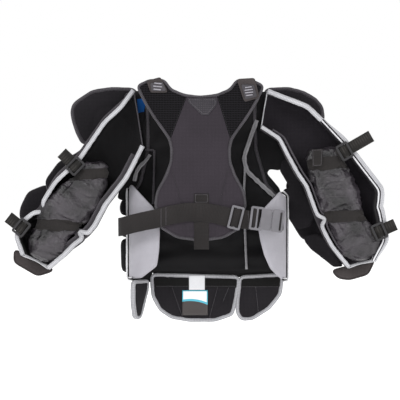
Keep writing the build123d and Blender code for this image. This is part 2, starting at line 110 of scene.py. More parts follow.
def clothMaterial(name, finish):
    # a woven or knitted cloth: two sets of threads at right angles, in the piece's own XZ plane
    mat, shader = startMaterial(name, finish["roughness"], finish.get("sheen", 0.0),
                                shine=finish.get("shine", 0.12))
    dark, light = toLinear(finish["dark"]), toLinear(finish["light"])
    along = finish.get("along")  # follows the tape's own length
    if along:
        place = addNode(mat, "ShaderNodeUVMap", uv_map="tape").outputs["UV"]
    else:
        place = addNode(mat, "ShaderNodeTexCoord").outputs["Object"]
    waves = []
    cross = finish.get("cross", finish["thread"])
    for direction, pitch in (("X", finish["thread"]), ("Y" if along else "Z", cross)):
        perMetre = 1000 / pitch / 20 * math.pi  # the wave node's own unit is 20 / pi of a repeat
        wave = addNode(mat, "ShaderNodeTexWave",
                       {"Vector": place, "Scale": perMetre, "Distortion": finish.get("uneven", 1.2),
                        "Detail": 1.0, "Detail Scale": 2.0},
                       bands_direction=direction, wave_profile="SIN")
        waves.append(wave.outputs["Fac"])
    woven = addNode(mat, "ShaderNodeMath", {0: waves[0], 1: waves[1]}, operation="MULTIPLY").outputs[0]
    blotch = addNode(mat, "ShaderNodeTexNoise", {"Vector": place, "Scale": 1000 / finish.get("blotch", 40),
                                                 "Detail": 5.0})
    fuzz = addNode(mat, "ShaderNodeTexNoise", {"Vector": place, "Scale": 1000 / 1.3, "Detail": 2.0})
    tone = addNode(mat, "ShaderNodeMath", {0: woven, 1: fuzz.outputs["Fac"]}, operation="ADD").outputs[0]
    tone = addNode(mat, "ShaderNodeMath", {0: tone, 1: blotch.outputs["Fac"]}, operation="ADD").outputs[0]
    tone = addNode(mat, "ShaderNodeMapRange", {"Value": tone, "From Min": 0.6,
                                               "From Max": 2.2}).outputs["Result"]
    colour = addNode(mat, "ShaderNodeMix", {0: tone, 6: dark, 7: light}, data_type="RGBA").outputs[2]
    height = addNode(mat, "ShaderNodeMath", {0: fuzz.outputs["Fac"], 1: 0.25, 2: woven},
                     operation="MULTIPLY_ADD")
    return finishMaterial(mat, shader, colour, height.outputs[0], finish["depth"],
                          finish.get("strength", 0.8))


# One entry for each cloth: threads in mm, colours between a thread's shade and its lit crown.
cloths = {
    # brushed tricot lining: near black, swallows light, faint fuzz at grazing angles
    "brushedTricot": dict(dark="#050505", light="#18161a", roughness=0.62, sheen=0.08, shine=0.16,
        thread=1.2, depth=0.1, blotch=60),
    # laminated knit over foam: even charcoal with a hint of violet, soft sheen
    "laminatedKnit": dict(dark="#29252a", light="#3e383f", roughness=0.72, sheen=0.06, thread=1.4,
        depth=0.1, blotch=80),
    # warp-knit body fabric: black, tighter and a little shinier than the lining
    "warpKnit": dict(dark="#09080a", light="#232125", roughness=0.7, sheen=0.06, thread=1.6, depth=0.15),
    # folded polyester binding tape: pale grey, ribbed across its length
    "bindingTape": dict(dark="#98989c", light="#d6d6da", roughness=0.6, sheen=0.2, thread=1.6, cross=3.0,
        depth=0.25, along=True, uneven=0.3),
    # brighter piping of the side wings and of the thin tape beside the padded roll on the right arm: nearly
    # white, soft
    "paleTape": dict(dark="#c6c6ca", light="#f3f3f5", roughness=0.65, sheen=0.25, thread=1.6, cross=12.0,
        depth=0.15, along=True, uneven=0.2),
    # the binding tape painted greyer for the armholes and the right lining piping: painted shade where they
    # sit in shadow, and rubbed
    "paintedShadeTape": dict(dark="#6c6b6e", light="#b3b2b5", roughness=0.7, sheen=0.15, thread=1.6, cross=3.0,
        depth=0.25, along=True, uneven=0.3),
    # binding of the belly flaps: mid grey, a shade darker than the tape on the arms
    "greyTape": dict(dark="#828286", light="#c6c6ca", roughness=0.65, sheen=0.15, thread=1.6, cross=3.0,
        depth=0.25, along=True, uneven=0.3),
    # the same tape dyed charcoal, along the spine pad
    "charcoalTape": dict(dark="#2b2a2c", light="#5c585e", roughness=0.65, sheen=0.15, thread=1.6,
        cross=3.0, depth=0.25, along=True, uneven=0.4),
    # elastic belt webbing: dull charcoal with close ribs across
    "elasticWebbing": dict(dark="#1f1d1d", light="#363333", roughness=0.85, sheen=0.08, thread=1.4,
        cross=38.0, depth=0.25, along=True, uneven=0.1),
    # polypropylene strap webbing: black with coarse slanting ribs, slight gloss
    "strapWebbing": dict(dark="#161514", light="#3a3836", roughness=0.6, sheen=0.05, thread=2.6,
        cross=5.0, depth=0.45, along=True, uneven=0.3),
    # brushed loop fabric of the side wings: pale lavender grey, soft and matt
    "brushedLoop": dict(dark="#98969d", light="#bdbbc2", roughness=0.85, sheen=0.25, thread=1.2,
        depth=0.08, blotch=50),
    # heavy tricot of the wrist flaps: warm charcoal
    "heavyTricot": dict(dark="#2f2b2b", light="#514b4b", roughness=0.8, sheen=0.15, thread=1.4, depth=0.15),
    # the same knit dyed black, on the flaps, the shoulder caps and the elbow caps
    "laminatedBlack": dict(dark="#100f12", light="#2b282c", roughness=0.74, sheen=0.06, thread=1.4,
        depth=0.12, blotch=70),
    # the black arm lining painted charcoal inside the right arm, a lit copy with painted light where light
    # falls into it: dark, soft, a little lighter than the flaps
    "paintedLitLining": dict(dark="#161418", light="#332f35", roughness=0.7, sheen=0.08, thread=1.4, depth=0.12,
        blotch=90),
    # knitted elastic of the sleeve's bands: warm charcoal, matt
    "sleeveKnit": dict(dark="#1f1d1d", light="#383534", roughness=0.85, sheen=0.1, thread=1.3, depth=0.2),
    # close-ribbed grosgrain patch: brownish grey
    "grosgrain": dict(dark="#2b292d", light="#4b484d", roughness=0.8, sheen=0.1, thread=2.2, depth=0.3),
    # flat webbing sewn across the flaps: black
    "strapFlat": dict(dark="#080808", light="#1c1b1b", roughness=0.7, sheen=0.05, thread=1.6, depth=0.2),
    # turned edge of the wrist flaps
    "heavyTape": dict(dark="#2a2626", light="#4c4646", roughness=0.8, sheen=0.1, thread=1.6, cross=3.0,
        depth=0.2, along=True, uneven=0.4),
    # royal blue lining knit
    "blueKnit": dict(dark="#063766", light="#0f57a6", roughness=0.75, sheen=0.15, thread=1.2, depth=0.1),
    # woven satin label: white and smooth
    "satinLabel": dict(dark="#cfd0d4", light="#f4f4f6", roughness=0.45, sheen=0.1, thread=0.8, depth=0.03),
}


def nylonTaffeta(name):
    # plain-woven nylon: tight threads, a gloss that breaks on every pucker, and painted highlight and shade
    # in cloudy patches over its colour
    mat, shader = startMaterial(name, 0.36, shine=0.6)
    place = addNode(mat, "ShaderNodeTexCoord").outputs["Object"]
    # painted highlight and shade: this cloud turns the colour lighter and darker in patches, standing in for
    # light on the sleeve's puffs
    cloud = addNode(mat, "ShaderNodeTexNoise", {"Vector": place, "Scale": 1000 / 45, "Detail": 4.0,
                                                "Distortion": 0.8})
    shade = addNode(mat, "ShaderNodeMapRange", {"Value": cloud.outputs["Fac"], "From Min": 0.36,
                                                "From Max": 0.66})
    thread = addNode(mat, "ShaderNodeTexNoise", {"Vector": place, "Scale": 1000 / 1.1, "Detail": 1.0})
    crease = addNode(mat, "ShaderNodeTexNoise", {"Vector": place, "Scale": 1000 / 9, "Detail": 3.0,
                                                 "Distortion": 1.5})
    colour = addNode(mat, "ShaderNodeMix", {0: shade.outputs["Result"], 6: toLinear("#0e0c0f"),
                                            7: toLinear("#3f3a40")}, data_type="RGBA").outputs[2]
    height = addNode(mat, "ShaderNodeMath", {0: crease.outputs["Fac"], 1: 5.0, 2: thread.outputs["Fac"]},
                     operation="MULTIPLY_ADD")
    return finishMaterial(mat, shader, colour, height.outputs[0], 0.45, 0.8)


def spacerMesh(name):
    # warp-knitted spacer mesh: small open cells over black, so it reads darker than the knit beside it
    mat, shader = startMaterial(name, 0.8, shine=0.1)
    place = addNode(mat, "ShaderNodeTexCoord").outputs["Object"]
    flat = addNode(mat, "ShaderNodeMapping", {"Vector": place, "Scale": (1.0, 0.0, 0.7)}).outputs["Vector"]
    cell = addNode(mat, "ShaderNodeTexVoronoi", {"Vector": flat, "Scale": 1000 / 3.2, "Randomness": 0.12},
                   feature="DISTANCE_TO_EDGE")
    wall = addNode(mat, "ShaderNodeMapRange", {"Value": cell.outputs["Distance"], "From Min": 0.04,
                                               "From Max": 0.22, "To Min": 1.0, "To Max": 0.0})
    colour = addNode(mat, "ShaderNodeMix", {0: wall.outputs["Result"], 6: toLinear("#030303"),
                                            7: toLinear("#242226")}, data_type="RGBA").outputs[2]
    return finishMaterial(mat, shader, colour, wall.outputs["Result"], 0.5)


def mouldedAcetal(name, dark, light, roughness):
    # injection-moulded acetal: satin, slightly cloudy, with the fine texture of an eroded mould
    mat, shader = startMaterial(name, roughness, shine=0.35)
    place = addNode(mat, "ShaderNodeTexCoord").outputs["Object"]
    cloud = addNode(mat, "ShaderNodeTexNoise", {"Vector": place, "Scale": 1000 / 25, "Detail": 3.0})
    grain = addNode(mat, "ShaderNodeTexNoise", {"Vector": place, "Scale": 1000 / 0.9, "Detail": 2.0})
    colour = addNode(mat, "ShaderNodeMix", {0: cloud.outputs["Fac"], 6: toLinear(dark), 7: toLinear(light)},
                     data_type="RGBA").outputs[2]
    return finishMaterial(mat, shader, colour, grain.outputs["Fac"], 0.05, 0.5)


def plainThread(name, hexColour):
    # bonded polyester sewing thread: round, faintly glossy
    mat, shader = startMaterial(name, 0.5, sheen=0.2)
    place = addNode(mat, "ShaderNodeTexCoord").outputs["Object"]
    twist = addNode(mat, "ShaderNodeTexNoise", {"Vector": place, "Scale": 1000 / 0.8})
    lit = toLinear(hexColour)
    colour = addNode(mat, "ShaderNodeMix", {0: twist.outputs["Fac"],
                                            6: tuple(0.6 * c for c in lit[:3]) + (1.0,), 7: lit},
                     data_type="RGBA").outputs[2]
    return finishMaterial(mat, shader, colour, twist.outputs["Fac"], 0.05)


def printedCard(name, tag):
    # coated card: white head with a teal frame, and a dark foot under a rising curve
    mat, shader = startMaterial(name, 0.35, coat=0.2)
    low, high = (np.array(p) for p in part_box(tag))
    centre, width, height = (low[0] + high[0]) / 2, high[0] - low[0], high[2] - low[2]
    place = addNode(mat, "ShaderNodeTexCoord").outputs["Object"]
    x, _, z = addNode(mat, "ShaderNodeSeparateXYZ", {0: place}).outputs
    across = addNode(mat, "ShaderNodeMath", {0: x, 1: float(centre)}, operation="SUBTRACT").outputs[0]
    square = addNode(mat, "ShaderNodeMath", {0: across, 1: across}, operation="MULTIPLY").outputs[0]
    tilt = addNode(mat, "ShaderNodeMath", {0: across, 1: -0.12, 2: float(low[2] + 0.56 * height)},
                   operation="MULTIPLY_ADD").outputs[0]
    arc = addNode(mat, "ShaderNodeMath", {0: square, 1: -6.0, 2: tilt}, operation="MULTIPLY_ADD").outputs[0]
    above = addNode(mat, "ShaderNodeMath", {0: z, 1: arc}, operation="SUBTRACT").outputs[0]
    isHead = addNode(mat, "ShaderNodeMath", {0: above, 1: 0.0}, operation="GREATER_THAN").outputs[0]
    isPlain = addNode(mat, "ShaderNodeMath", {0: above, 1: 0.0045}, operation="GREATER_THAN").outputs[0]
    away = addNode(mat, "ShaderNodeMath", {0: across}, operation="ABSOLUTE").outputs[0]
    inside = addNode(mat, "ShaderNodeMath", {0: away, 1: float(width / 2 - 0.002)},
                     operation="LESS_THAN").outputs[0]
    below = addNode(mat, "ShaderNodeMath", {0: z, 1: float(high[2] - 0.002)},
                    operation="LESS_THAN").outputs[0]
    plain = addNode(mat, "ShaderNodeMath", {0: isPlain, 1: inside}, operation="MULTIPLY").outputs[0]
    plain = addNode(mat, "ShaderNodeMath", {0: plain, 1: below}, operation="MULTIPLY").outputs[0]
    colour = addNode(mat, "ShaderNodeMix", {0: plain, 6: toLinear("#4fb6cc"), 7: toLinear("#f2f4f5")},
                     data_type="RGBA").outputs[2]
    colour = addNode(mat, "ShaderNodeMix", {0: isHead, 6: toLinear("#3b3534"), 7: colour},
                     data_type="RGBA").outputs[2]
    grain = addNode(mat, "ShaderNodeTexNoise", {"Vector": place, "Scale": 1000 / 1.5})
    return finishMaterial(mat, shader, colour, grain.outputs["Fac"], 0.02, 0.4)


finishes = {name: clothMaterial(name, finish) for name, finish in cloths.items()}
finishes["nylonTaffeta"] = nylonTaffeta("nylonTaffeta")
finishes["spacerMesh"] = spacerMesh("spacerMesh")
moulded = {  # satin plastics and rubbers: shade, lit colour, roughness
    "greyAcetal": ("#5f5e62", "#7d7b80", 0.42), "darkAcetal": ("#222123", "#353436", 0.4),
    "mouldedRubber": ("#2e2c30", "#4b484d", 0.55), "paleRubber": ("#85828a", "#a9a6ad", 0.5),
    "paleFloor": ("#fafafa", "#fdfdfd", 0.95),
}
for name, (dark, light, roughness) in moulded.items():
    finishes[name] = mouldedAcetal(name, dark, light, roughness)
floorShader = finishes["paleFloor"].node_tree.nodes["Principled BSDF"]
floorShader.inputs["Emission Color"].default_value = (1, 1, 1, 1)
floorShader.inputs["Emission Strength"].default_value = 0.5
finishes["printedCard"] = printedCard("printedCard", "hang_tag")
for name, tone in {"paleThread": "#8d8a90", "darkThread": "#5a565c", "blackThread": "#121113"}.items():
    finishes[name] = plainThread(name, tone)
print("materials ready:", len(finishes))


# Shapes

towardsSkin = (0, -1, 0)  # from the garment towards its open side
# row height and least distances, as shares of a grid's step
gridShare, edgeShare, lineShare = 0.87, 0.55, 0.45
faceLimit = 0.85  # how squarely a face has to look along a direction to count


def linked(name, mesh):
    obj = bpy.data.objects.new(name, mesh)
    bpy.context.scene.collection.objects.link(obj)
    return obj


def turnOutwards(mesh):
    bm = bmesh.new()
    bm.from_mesh(mesh)
    bmesh.ops.recalc_face_normals(bm, faces=bm.faces)
    bm.to_mesh(mesh)
    bm.free()


def boxMm(node):
    return [np.array(p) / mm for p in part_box(node)]


def camelName(node, side=""):
    first, *rest = node.split("_")
    return first + "".join(part.capitalize() for part in rest) + side.capitalize()


def newPiece(name, points, faces, finish, faceFinish=None, smooth=True):
    mesh = bpy.data.meshes.new(name)
    mesh.from_pydata([tuple(p) for p in points], [], faces)
    names = [finish] if isinstance(finish, str) else list(finish)
    for n in names:
        mesh.materials.append(finishes[n])
    if faceFinish is not None:
        mesh.polygons.foreach_set("material_index", faceFinish)
    mesh.polygons.foreach_set("use_smooth", [smooth] * len(mesh.polygons))
    mesh.update()
    return linked(name, mesh)


def looseCopy(node):
    # a CAD node's mesh with its doubles merged
    bm = bmesh.new()
    bm.from_mesh(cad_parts[node].data)
    bmesh.ops.remove_doubles(bm, verts=bm.verts, dist=1e-5)
    bm.normal_update()
    bm.verts.index_update()
    bm.faces.index_update()
    return bm


def rimLoop(bm, facing):
    # the longest border of the faces that look along a direction, as points in order
    kept = {f.index for f in bm.faces if f.normal.dot(facing) > faceLimit}
    follow = {}
    for face in (f for f in bm.faces if f.index in kept):
        for loop in face.loops:
            others = [g for g in loop.edge.link_faces if g is not face]
            if not others or others[0].index not in kept:
                follow[loop.vert.index] = loop.link_loop_next.vert.index
    bm.verts.ensure_lookup_table()
    best = []
    while follow:
        start = next(iter(follow))
        chain, at = [], start
        while at in follow:
            chain.append(bm.verts[at].co.copy())
            at = follow.pop(at)
        length = sum((a - b).length for a, b in zip(chain, chain[1:]))
        if not best or length > best[0]:
            best = (length, chain)
    return [np.array(p) for p in best[1]]


def smoothed(rows, times):
    # rounds the corners of an open path and keeps its ends
    for _ in range(times):
        rows[1:-1] = 0.5 * rows[1:-1] + 0.25 * (rows[:-2] + rows[2:])
    return rows


def spaced(points, step, closed=False, soften=0):
    # even spacing along a path; soften rounds its corners
    pts = np.array(points, float)
    ring = np.vstack([pts, pts[:1]]) if closed else pts
    gaps = np.linalg.norm(np.diff(ring, axis=0), axis=1)
    along = np.concatenate([[0], np.cumsum(gaps)])
    count = max(int(round(along[-1] / step)), 3 if closed else 1)
    at = np.linspace(0, along[-1], count + 1)
    if closed:
        at = at[:-1]
    out = np.stack([np.interp(at, along, ring[:, k]) for k in range(ring.shape[1])], axis=1)
    if not closed:
        return smoothed(out, soften)
    for _ in range(soften):
        out = 0.5 * out + 0.25 * (np.roll(out, 1, axis=0) + np.roll(out, -1, axis=0))
    return out


def distanceTo(points, line, closed=False):
    # shortest distance from each point to a polyline, in its own plane
    line = np.array(line, float)
    a = line if closed else line[:-1]
    b = np.roll(line, -1, axis=0) if closed else line[1:]
    best = np.full(len(points), 1e9)
    for p, q in zip(a, b):
        d = q - p
        t = np.clip(((points - p) @ d) / max(float(d @ d), 1e-12), 0, 1)
        best = np.minimum(best, np.linalg.norm(points - (p + t[:, None] * d), axis=1))
    return best


def isInside(points, outline):
    # even-odd rule
    inside = np.zeros(len(points), bool)
    x, y = points[:, 0], points[:, 1]
    for (x1, y1), (x2, y2) in zip(outline, np.roll(outline, -1, axis=0)):
        crosses = (y1 > y) != (y2 > y)
        at = (x2 - x1) * (y - y1) / ((y2 - y1) if y2 != y1 else 1e-12) + x1
        inside ^= crosses & (x < at)
    return inside


def wrinkles(points, size, seed):
    # soft uneven folds between -1 and 1; size is their length along each axis in mm
    sx, sz = size
    return np.array([noise.noise(Vector((x / sx, z / sz, seed))) for x, z in points])


def filled(outline, step, lines=()):
    # even triangles inside an outline; each closed line becomes edges between them
    low, high = outline.min(axis=0), outline.max(axis=0)
    us, vs = np.arange(low[0], high[0], step), np.arange(low[1], high[1], step * gridShare)
    grid = np.array([(u + (step / 2 if k % 2 else 0), v) for k, v in enumerate(vs) for u in us])
    grid = grid[isInside(grid, outline)]
    grid = grid[distanceTo(grid, outline, closed=True) > edgeShare * step]
    parts, edges = [outline], []
    for line in lines:
        line = spaced(line, step, closed=True)
        grid = grid[distanceTo(grid, line, closed=True) > lineShare * step]
        start = sum(len(part) for part in parts)
        parts.append(line)
        edges += [(start + i, start + (i + 1) % len(line)) for i in range(len(line))]
    every = [Vector(p) for p in np.vstack(parts + [grid])]
    made = delaunay_2d_cdt(every, edges, [list(range(len(outline)))], 1, 1e-4)
    points, faces = np.array([tuple(p) for p in made[0]]), [tuple(f) for f in made[2]]
    inside = isInside(np.array([points[list(f)].mean(axis=0) for f in faces]), outline)
    faces = [f for f, keep in zip(faces, inside) if keep]
    used = sorted({i for f in faces for i in f})
    renumber = {old: new for new, old in enumerate(used)}
    points, faces = points[used], [tuple(renumber[i] for i in f) for f in faces]
    turned = []
    for f in faces:
        (ax, ay), (bx, by) = points[f[1]] - points[f[0]], points[f[2]] - points[f[0]]
        turned.append(f if ax * by - bx * ay > 0 else f[::-1])
    return points, turned


def twoSkins(faces, count):
    # a front skin, the same skin turned round behind it, and the wall between their borders
    used = dict.fromkeys((f[i], f[(i + 1) % 3]) for f in faces for i in range(3))
    walls = [(b, a, count + a, count + b) for a, b in used if (b, a) not in used]
    return faces + [tuple(count + i for i in f[::-1]) for f in faces] + walls


defaults = dict(step=5.0, roundOver=7.0, rim=0.35, soften=1, puff=0.0, seams=(), seamWidth=2.2, seamDepth=1.8,
                folds=None, zones=(), bothSides=True, turn=0.0)
puffReach, foldReach = 25.0, 20.0  # mm from the edge at which the crown and the folds are full


def paddedPanel(name, node, finish, body, slot, fill=0.8, **wanted):
    # a stuffed panel with the outline and depth of its CAD solid: rounded edge, crowned middle, sewn seams
    w = {**defaults, **wanted}
    bm = looseCopy(node)
    turn = math.radians(w["turn"])
    across = np.array([math.cos(turn), math.sin(turn), 0])
    facing = np.array([math.sin(turn), -math.cos(turn), 0])  # towards the open side of the garment
    border = rimLoop(bm, Vector(facing))
    skins = []
    for sign in (1, -1):
        corners = {v for f in bm.faces if sign * f.normal.dot(Vector(facing)) > faceLimit for v in f.verts}
        places = [np.array(v.co) / mm for v in corners]
        skins.append(sorted({(round(float(p @ across), 2), round(float(p @ facing), 2)) for p in places}))
    bm.free()
    outer, inner = skins
    if not w["turn"]:  # flat: the depth of the border, not of a block that stands on the panel
        outer = [(0, float(np.median([p @ facing for p in border])) / mm)]
        inner = [(0, min(d for _, d in inner))]
    outer, inner = np.array(outer), np.array(inner)
    outline = spaced(np.array([(p @ across, p[2]) for p in border]) / mm, w["step"], closed=True,
                     soften=w["soften"])
    flat, faces = filled(outline, w["step"], [np.array(line, float) for line, _ in w["zones"]])
    near = distanceTo(flat, outline, closed=True)
    full = w["rim"] + (1 - w["rim"]) * np.sqrt(1 - (1 - np.clip(near / w["roundOver"], 0, 1)) ** 2)
    outerDepth, innerDepth = (np.interp(flat[:, 0], skin[:, 0], skin[:, 1]) for skin in (outer, inner))
    middle, half = (outerDepth + innerDepth) / 2, (outerDepth - innerDepth) / 2
    rise = w["puff"] * (0.5 - np.exp(-near / puffReach))
    for seam in w["seams"]:
        rise -= w["seamDepth"] * np.exp(-(distanceTo(flat, seam) / w["seamWidth"]) ** 2)
    if w["folds"]:
        amount, size, seed = w["folds"]
        rise += amount * wrinkles(flat, size, seed) * np.clip(near / foldReach, 0, 1)
    front = middle + half * full + rise
    back = middle - half * full - (rise if w["bothSides"] else 0)

    def standing(rows, depths):
        return [(across * u + facing * d + np.array([0, 0, z])) * mm for (u, z), d in zip(rows, depths)]

    points = standing(flat, front) + standing(flat, back)
    everything = twoSkins(faces, len(flat))
    kinds = None
    if w["zones"]:
        kinds = np.zeros(len(everything), int)
        centres = np.array([flat[list(f)].mean(axis=0) for f in faces])
        for polygon, index in w["zones"]:
            kinds[:len(faces)][isInside(centres, np.array(polygon, float))] = index
    obj = newPiece(name, points, everything, finish, kinds)
    halfway = (outer[:, 1] + np.interp(outer[:, 0], inner[:, 0], inner[:, 1])) / 2
    edge = standing(outline, np.interp(outline[:, 0], outer[:, 0], halfway))
    obj["thick"] = float((outer[:, 1].mean() - inner[:, 1].mean()))
    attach(obj, body)
    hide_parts(node)
    return obj, edge, facing


def tubeFaces(rings, around, closed=False):
    # quads between neighbouring rings of points, and a lid on each open end
    faces = []
    for i in range(rings if closed else rings - 1):
        j = (i + 1) % rings
        for k in range(around):
            m = (k + 1) % around
            faces.append((i * around + k, i * around + m, j * around + m, j * around + k))
    if not closed:
        faces += [tuple(reversed(range(around))), tuple((rings - 1) * around + k for k in range(around))]
    return faces


def sweep(name, path, finish, body, width, height, up, closed=False, step=3.5, soften=2, square=2.6,
          ripple=0.0):
    # a tape, strap or piping: a rounded section carried along a path; sizes in mm, path in metres
    pts = spaced(np.array(path) / mm, step, closed=closed, soften=soften)
    count = len(pts)
    upward = np.array(up, float)
    if upward.ndim == 1:
        upward = np.tile(upward, (count, 1))
    else:
        at = np.linspace(0, len(upward) - 1, count)
        upward = np.stack([np.interp(at, range(len(upward)), upward[:, k]) for k in range(3)], axis=1)
    tangent = (np.roll(pts, -1, axis=0) - np.roll(pts, 1, axis=0)) if closed else np.gradient(pts, axis=0)
    tangent /= np.linalg.norm(tangent, axis=1)[:, None]
    upward = upward - tangent * np.sum(upward * tangent, axis=1)[:, None]
    upward /= np.linalg.norm(upward, axis=1)[:, None]
    side = np.cross(tangent, upward)
    around, rippleLength = 12, 9.0
    angles = [2 * math.pi * k / around for k in range(around)]
    section = [[math.copysign(abs(v) ** (2 / square), v) for v in (math.cos(a), math.sin(a))] for a in angles]
    points = []
    travelled = np.concatenate([[0], np.cumsum(np.linalg.norm(np.diff(pts, axis=0), axis=1))])
    for i in range(count):
        swell = 1 + ripple * noise.noise(Vector((travelled[i] / rippleLength, width, height)))
        points += [(pts[i] + side[i] * (c * width / 2 * swell) + upward[i] * (s * height / 2 * swell)) * mm
                   for c, s in section]
    rings = count if closed else count - 1
    obj = newPiece(name, points, tubeFaces(count, around, closed), finish)
    mesh = obj.data
    layer = mesh.uv_layers.new(name="tape")
    girth = 2 * (width + height)
    for poly in mesh.polygons:
        first = poly.index < rings * around
        for li in poly.loop_indices:
            v = mesh.loops[li].vertex_index
            ring, k = divmod(v, around)
            u = travelled[ring]
            if first and closed and ring == 0 and poly.index >= (rings - 1) * around:
                u = travelled[-1] + step
            if first and k == 0 and poly.index % around == around - 1:
                k = around
            layer.data[li].uv = (u * mm, k / around * girth * mm)
    turnOutwards(mesh)
    if body:
        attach(obj, body)
    return obj


# Stitches, as a node tree that lays short threads along paths

def makeStitchTree():
    tree = bpy.data.node_groups.new("stitchRun", "GeometryNodeTree")
    for name, way, kind in (("Geometry", "INPUT", "Geometry"), ("Pitch", "INPUT", "Float"),
                            ("Length", "INPUT", "Float"), ("Radius", "INPUT", "Float"),
                            ("Thread", "INPUT", "Material"), ("Geometry", "OUTPUT", "Geometry")):
        tree.interface.new_socket(name, in_out=way, socket_type="NodeSocket" + kind)
    add, link = tree.nodes.new, tree.links.new
    entry, leave = add("NodeGroupInput"), add("NodeGroupOutput")
    toCurve, toPoints = add("GeometryNodeMeshToCurve"), add("GeometryNodeCurveToPoints")
    toPoints.mode = "LENGTH"
    ball, shape = add("GeometryNodeMeshUVSphere"), add("ShaderNodeCombineXYZ")
    ball.inputs["Segments"].default_value = 6
    ball.inputs["Rings"].default_value = 5
    ball.inputs["Radius"].default_value = 1.0
    place, solid = add("GeometryNodeInstanceOnPoints"), add("GeometryNodeRealizeInstances")
    paint = add("GeometryNodeSetMaterial")
    for source, out, target, into in ((entry, "Geometry", toCurve, "Mesh"),
                                      (toCurve, "Curve", toPoints, "Curve"),
                                      (entry, "Pitch", toPoints, "Length"),
                                      (toPoints, "Points", place, "Points"),
                                      (toPoints, "Rotation", place, "Rotation"),
                                      (ball, "Mesh", place, "Instance"), (entry, "Radius", shape, "X"),
                                      (entry, "Radius", shape, "Y"), (entry, "Length", shape, "Z"),
                                      (shape, "Vector", place, "Scale"),
                                      (place, "Instances", solid, "Geometry"),
                                      (solid, "Geometry", paint, "Geometry"),
                                      (entry, "Thread", paint, "Material"),
                                      (paint, "Geometry", leave, "Geometry")):
        link(source.outputs[out], target.inputs[into])
    return tree


stitchTree = makeStitchTree()
stitch = {"pitch": 4.0, "length": 1.4, "radius": 0.45}


def stitches(name, paths, body, thread="paleThread", pitch=None):
    # one piece with a row of stitches along each path, paths in metres
    points, edges = [], []
    for path in paths:
        path = spaced(np.array(path) / mm, 3.0) * mm
        start = len(points)
        points += [tuple(p) for p in path]
        edges += [(start + i, start + i + 1) for i in range(len(path) - 1)]
    mesh = bpy.data.meshes.new(name + "Line")
    mesh.from_pydata(points, edges, [])
    carrier = linked(name + "Line", mesh)
    run = carrier.modifiers.new("stitchRun", "NODES")
    run.node_group = stitchTree
    values = {"Pitch": (pitch or stitch["pitch"]) * mm, "Length": stitch["length"] * mm,
              "Radius": stitch["radius"] * mm, "Thread": finishes[thread]}
    for item in stitchTree.interface.items_tree:
        if item.in_out == "INPUT" and item.name in values:
            run[item.identifier] = values[item.name]
    done = bpy.data.meshes.new_from_object(carrier.evaluated_get(bpy.context.evaluated_depsgraph_get()))
    bpy.data.objects.remove(carrier)
    done.name = name
    obj = linked(name, done)
    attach(obj, body)
    return obj


def plate(name, outline, depths, finish, body, bevelMm=0.6):
    # a thin flat piece with an outline in X and Z, between two depths in mm
    bm = bmesh.new()
    near = [bm.verts.new((x * mm, depths[0] * mm, z * mm)) for x, z in outline]
    far = [bm.verts.new((x * mm, depths[1] * mm, z * mm)) for x, z in outline]
    bm.faces.new(near)
    bm.faces.new(list(reversed(far)))
    for i in range(len(outline)):
        j = (i + 1) % len(outline)
        bm.faces.new((near[j], near[i], far[i], far[j]))
    bmesh.ops.recalc_face_normals(bm, faces=bm.faces)
    bmesh.ops.bevel(bm, geom=bm.edges[:], offset=bevelMm * mm, segments=2, affect="EDGES", profile=0.6)
    mesh = bpy.data.meshes.new(name)
    bm.to_mesh(mesh)
    bm.free()
    mesh.materials.append(finishes[finish])
    obj = linked(name, mesh)
    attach(obj, body)
    return obj


def softenedCopy(name, node, finish, body, bevelMm):
    # a hard CAD piece with the rounded edges that its mould gives it
    bm = looseCopy(node)
    bmesh.ops.dissolve_limit(bm, angle_limit=math.radians(1), verts=bm.verts, edges=bm.edges)
    sharp = [e for e in bm.edges if len(e.link_faces) == 2 and e.calc_face_angle() > math.radians(30)]
    bmesh.ops.bevel(bm, geom=sharp, offset=bevelMm * mm, segments=3, affect="EDGES", profile=0.5,
                    clamp_overlap=True)
    bmesh.ops.triangulate(bm, faces=[f for f in bm.faces if len(f.verts) > 4])
    mesh = bpy.data.meshes.new(name)
    bm.to_mesh(mesh)
    bm.free()
    mesh.materials.append(finishes[finish])
    obj = linked(name, mesh)
    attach(obj, body)
    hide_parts(node)
    return obj


def at(points, depth):
    # points in X and Z, in mm, at one depth, as places in metres
    return [np.array([x, depth, z]) * mm for x, z in points]


def cut(path, keep):
    # the run of an edge path whose points pass a test, in order
    flags = [keep(p / mm) for p in path]
    start = next((i for i in range(len(path)) if flags[i] and not flags[i - 1]), 0)
    run = []
    for k in range(len(path)):
        i = (start + k) % len(path)
        if not flags[i]:
            break
        run.append(path[i])
    return run


# Chest

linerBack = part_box("chest_liner")[0][1] / mm
liner = dict(step=5.0, roundOver=8.0, rim=0.5, folds=(6.0, (60, 26), 3.0), seamWidth=3.0, seamDepth=1.6,
             seams=([(-97, -131), (-98, -236), (-92, -372)],
                    [(90, -127), (90, -200), (91, -250), (96, -372)]))
_, linerEdge, _ = paddedPanel("chestLiner", "chest_liner", "brushedTricot", "chest", "liner_fabric", 0.5,
                              **liner)
chestTapes = {
    "linerNeckTape": (lambda p: p[2] > -130, "charcoalTape"),
    "linerArmholeTapeLeft": (lambda p: p[0] < 0 and -240 < p[2] <= -124, "charcoalTape"),
    "linerArmholeTapeRight": (lambda p: p[0] > 0 and -240 < p[2] <= -124, "charcoalTape"),
}
for name, (keep, finish) in chestTapes.items():
    sweep(name, cut(linerEdge, keep), finish, "chest", 8.0, 12.0, towardsSkin, ripple=0.15)
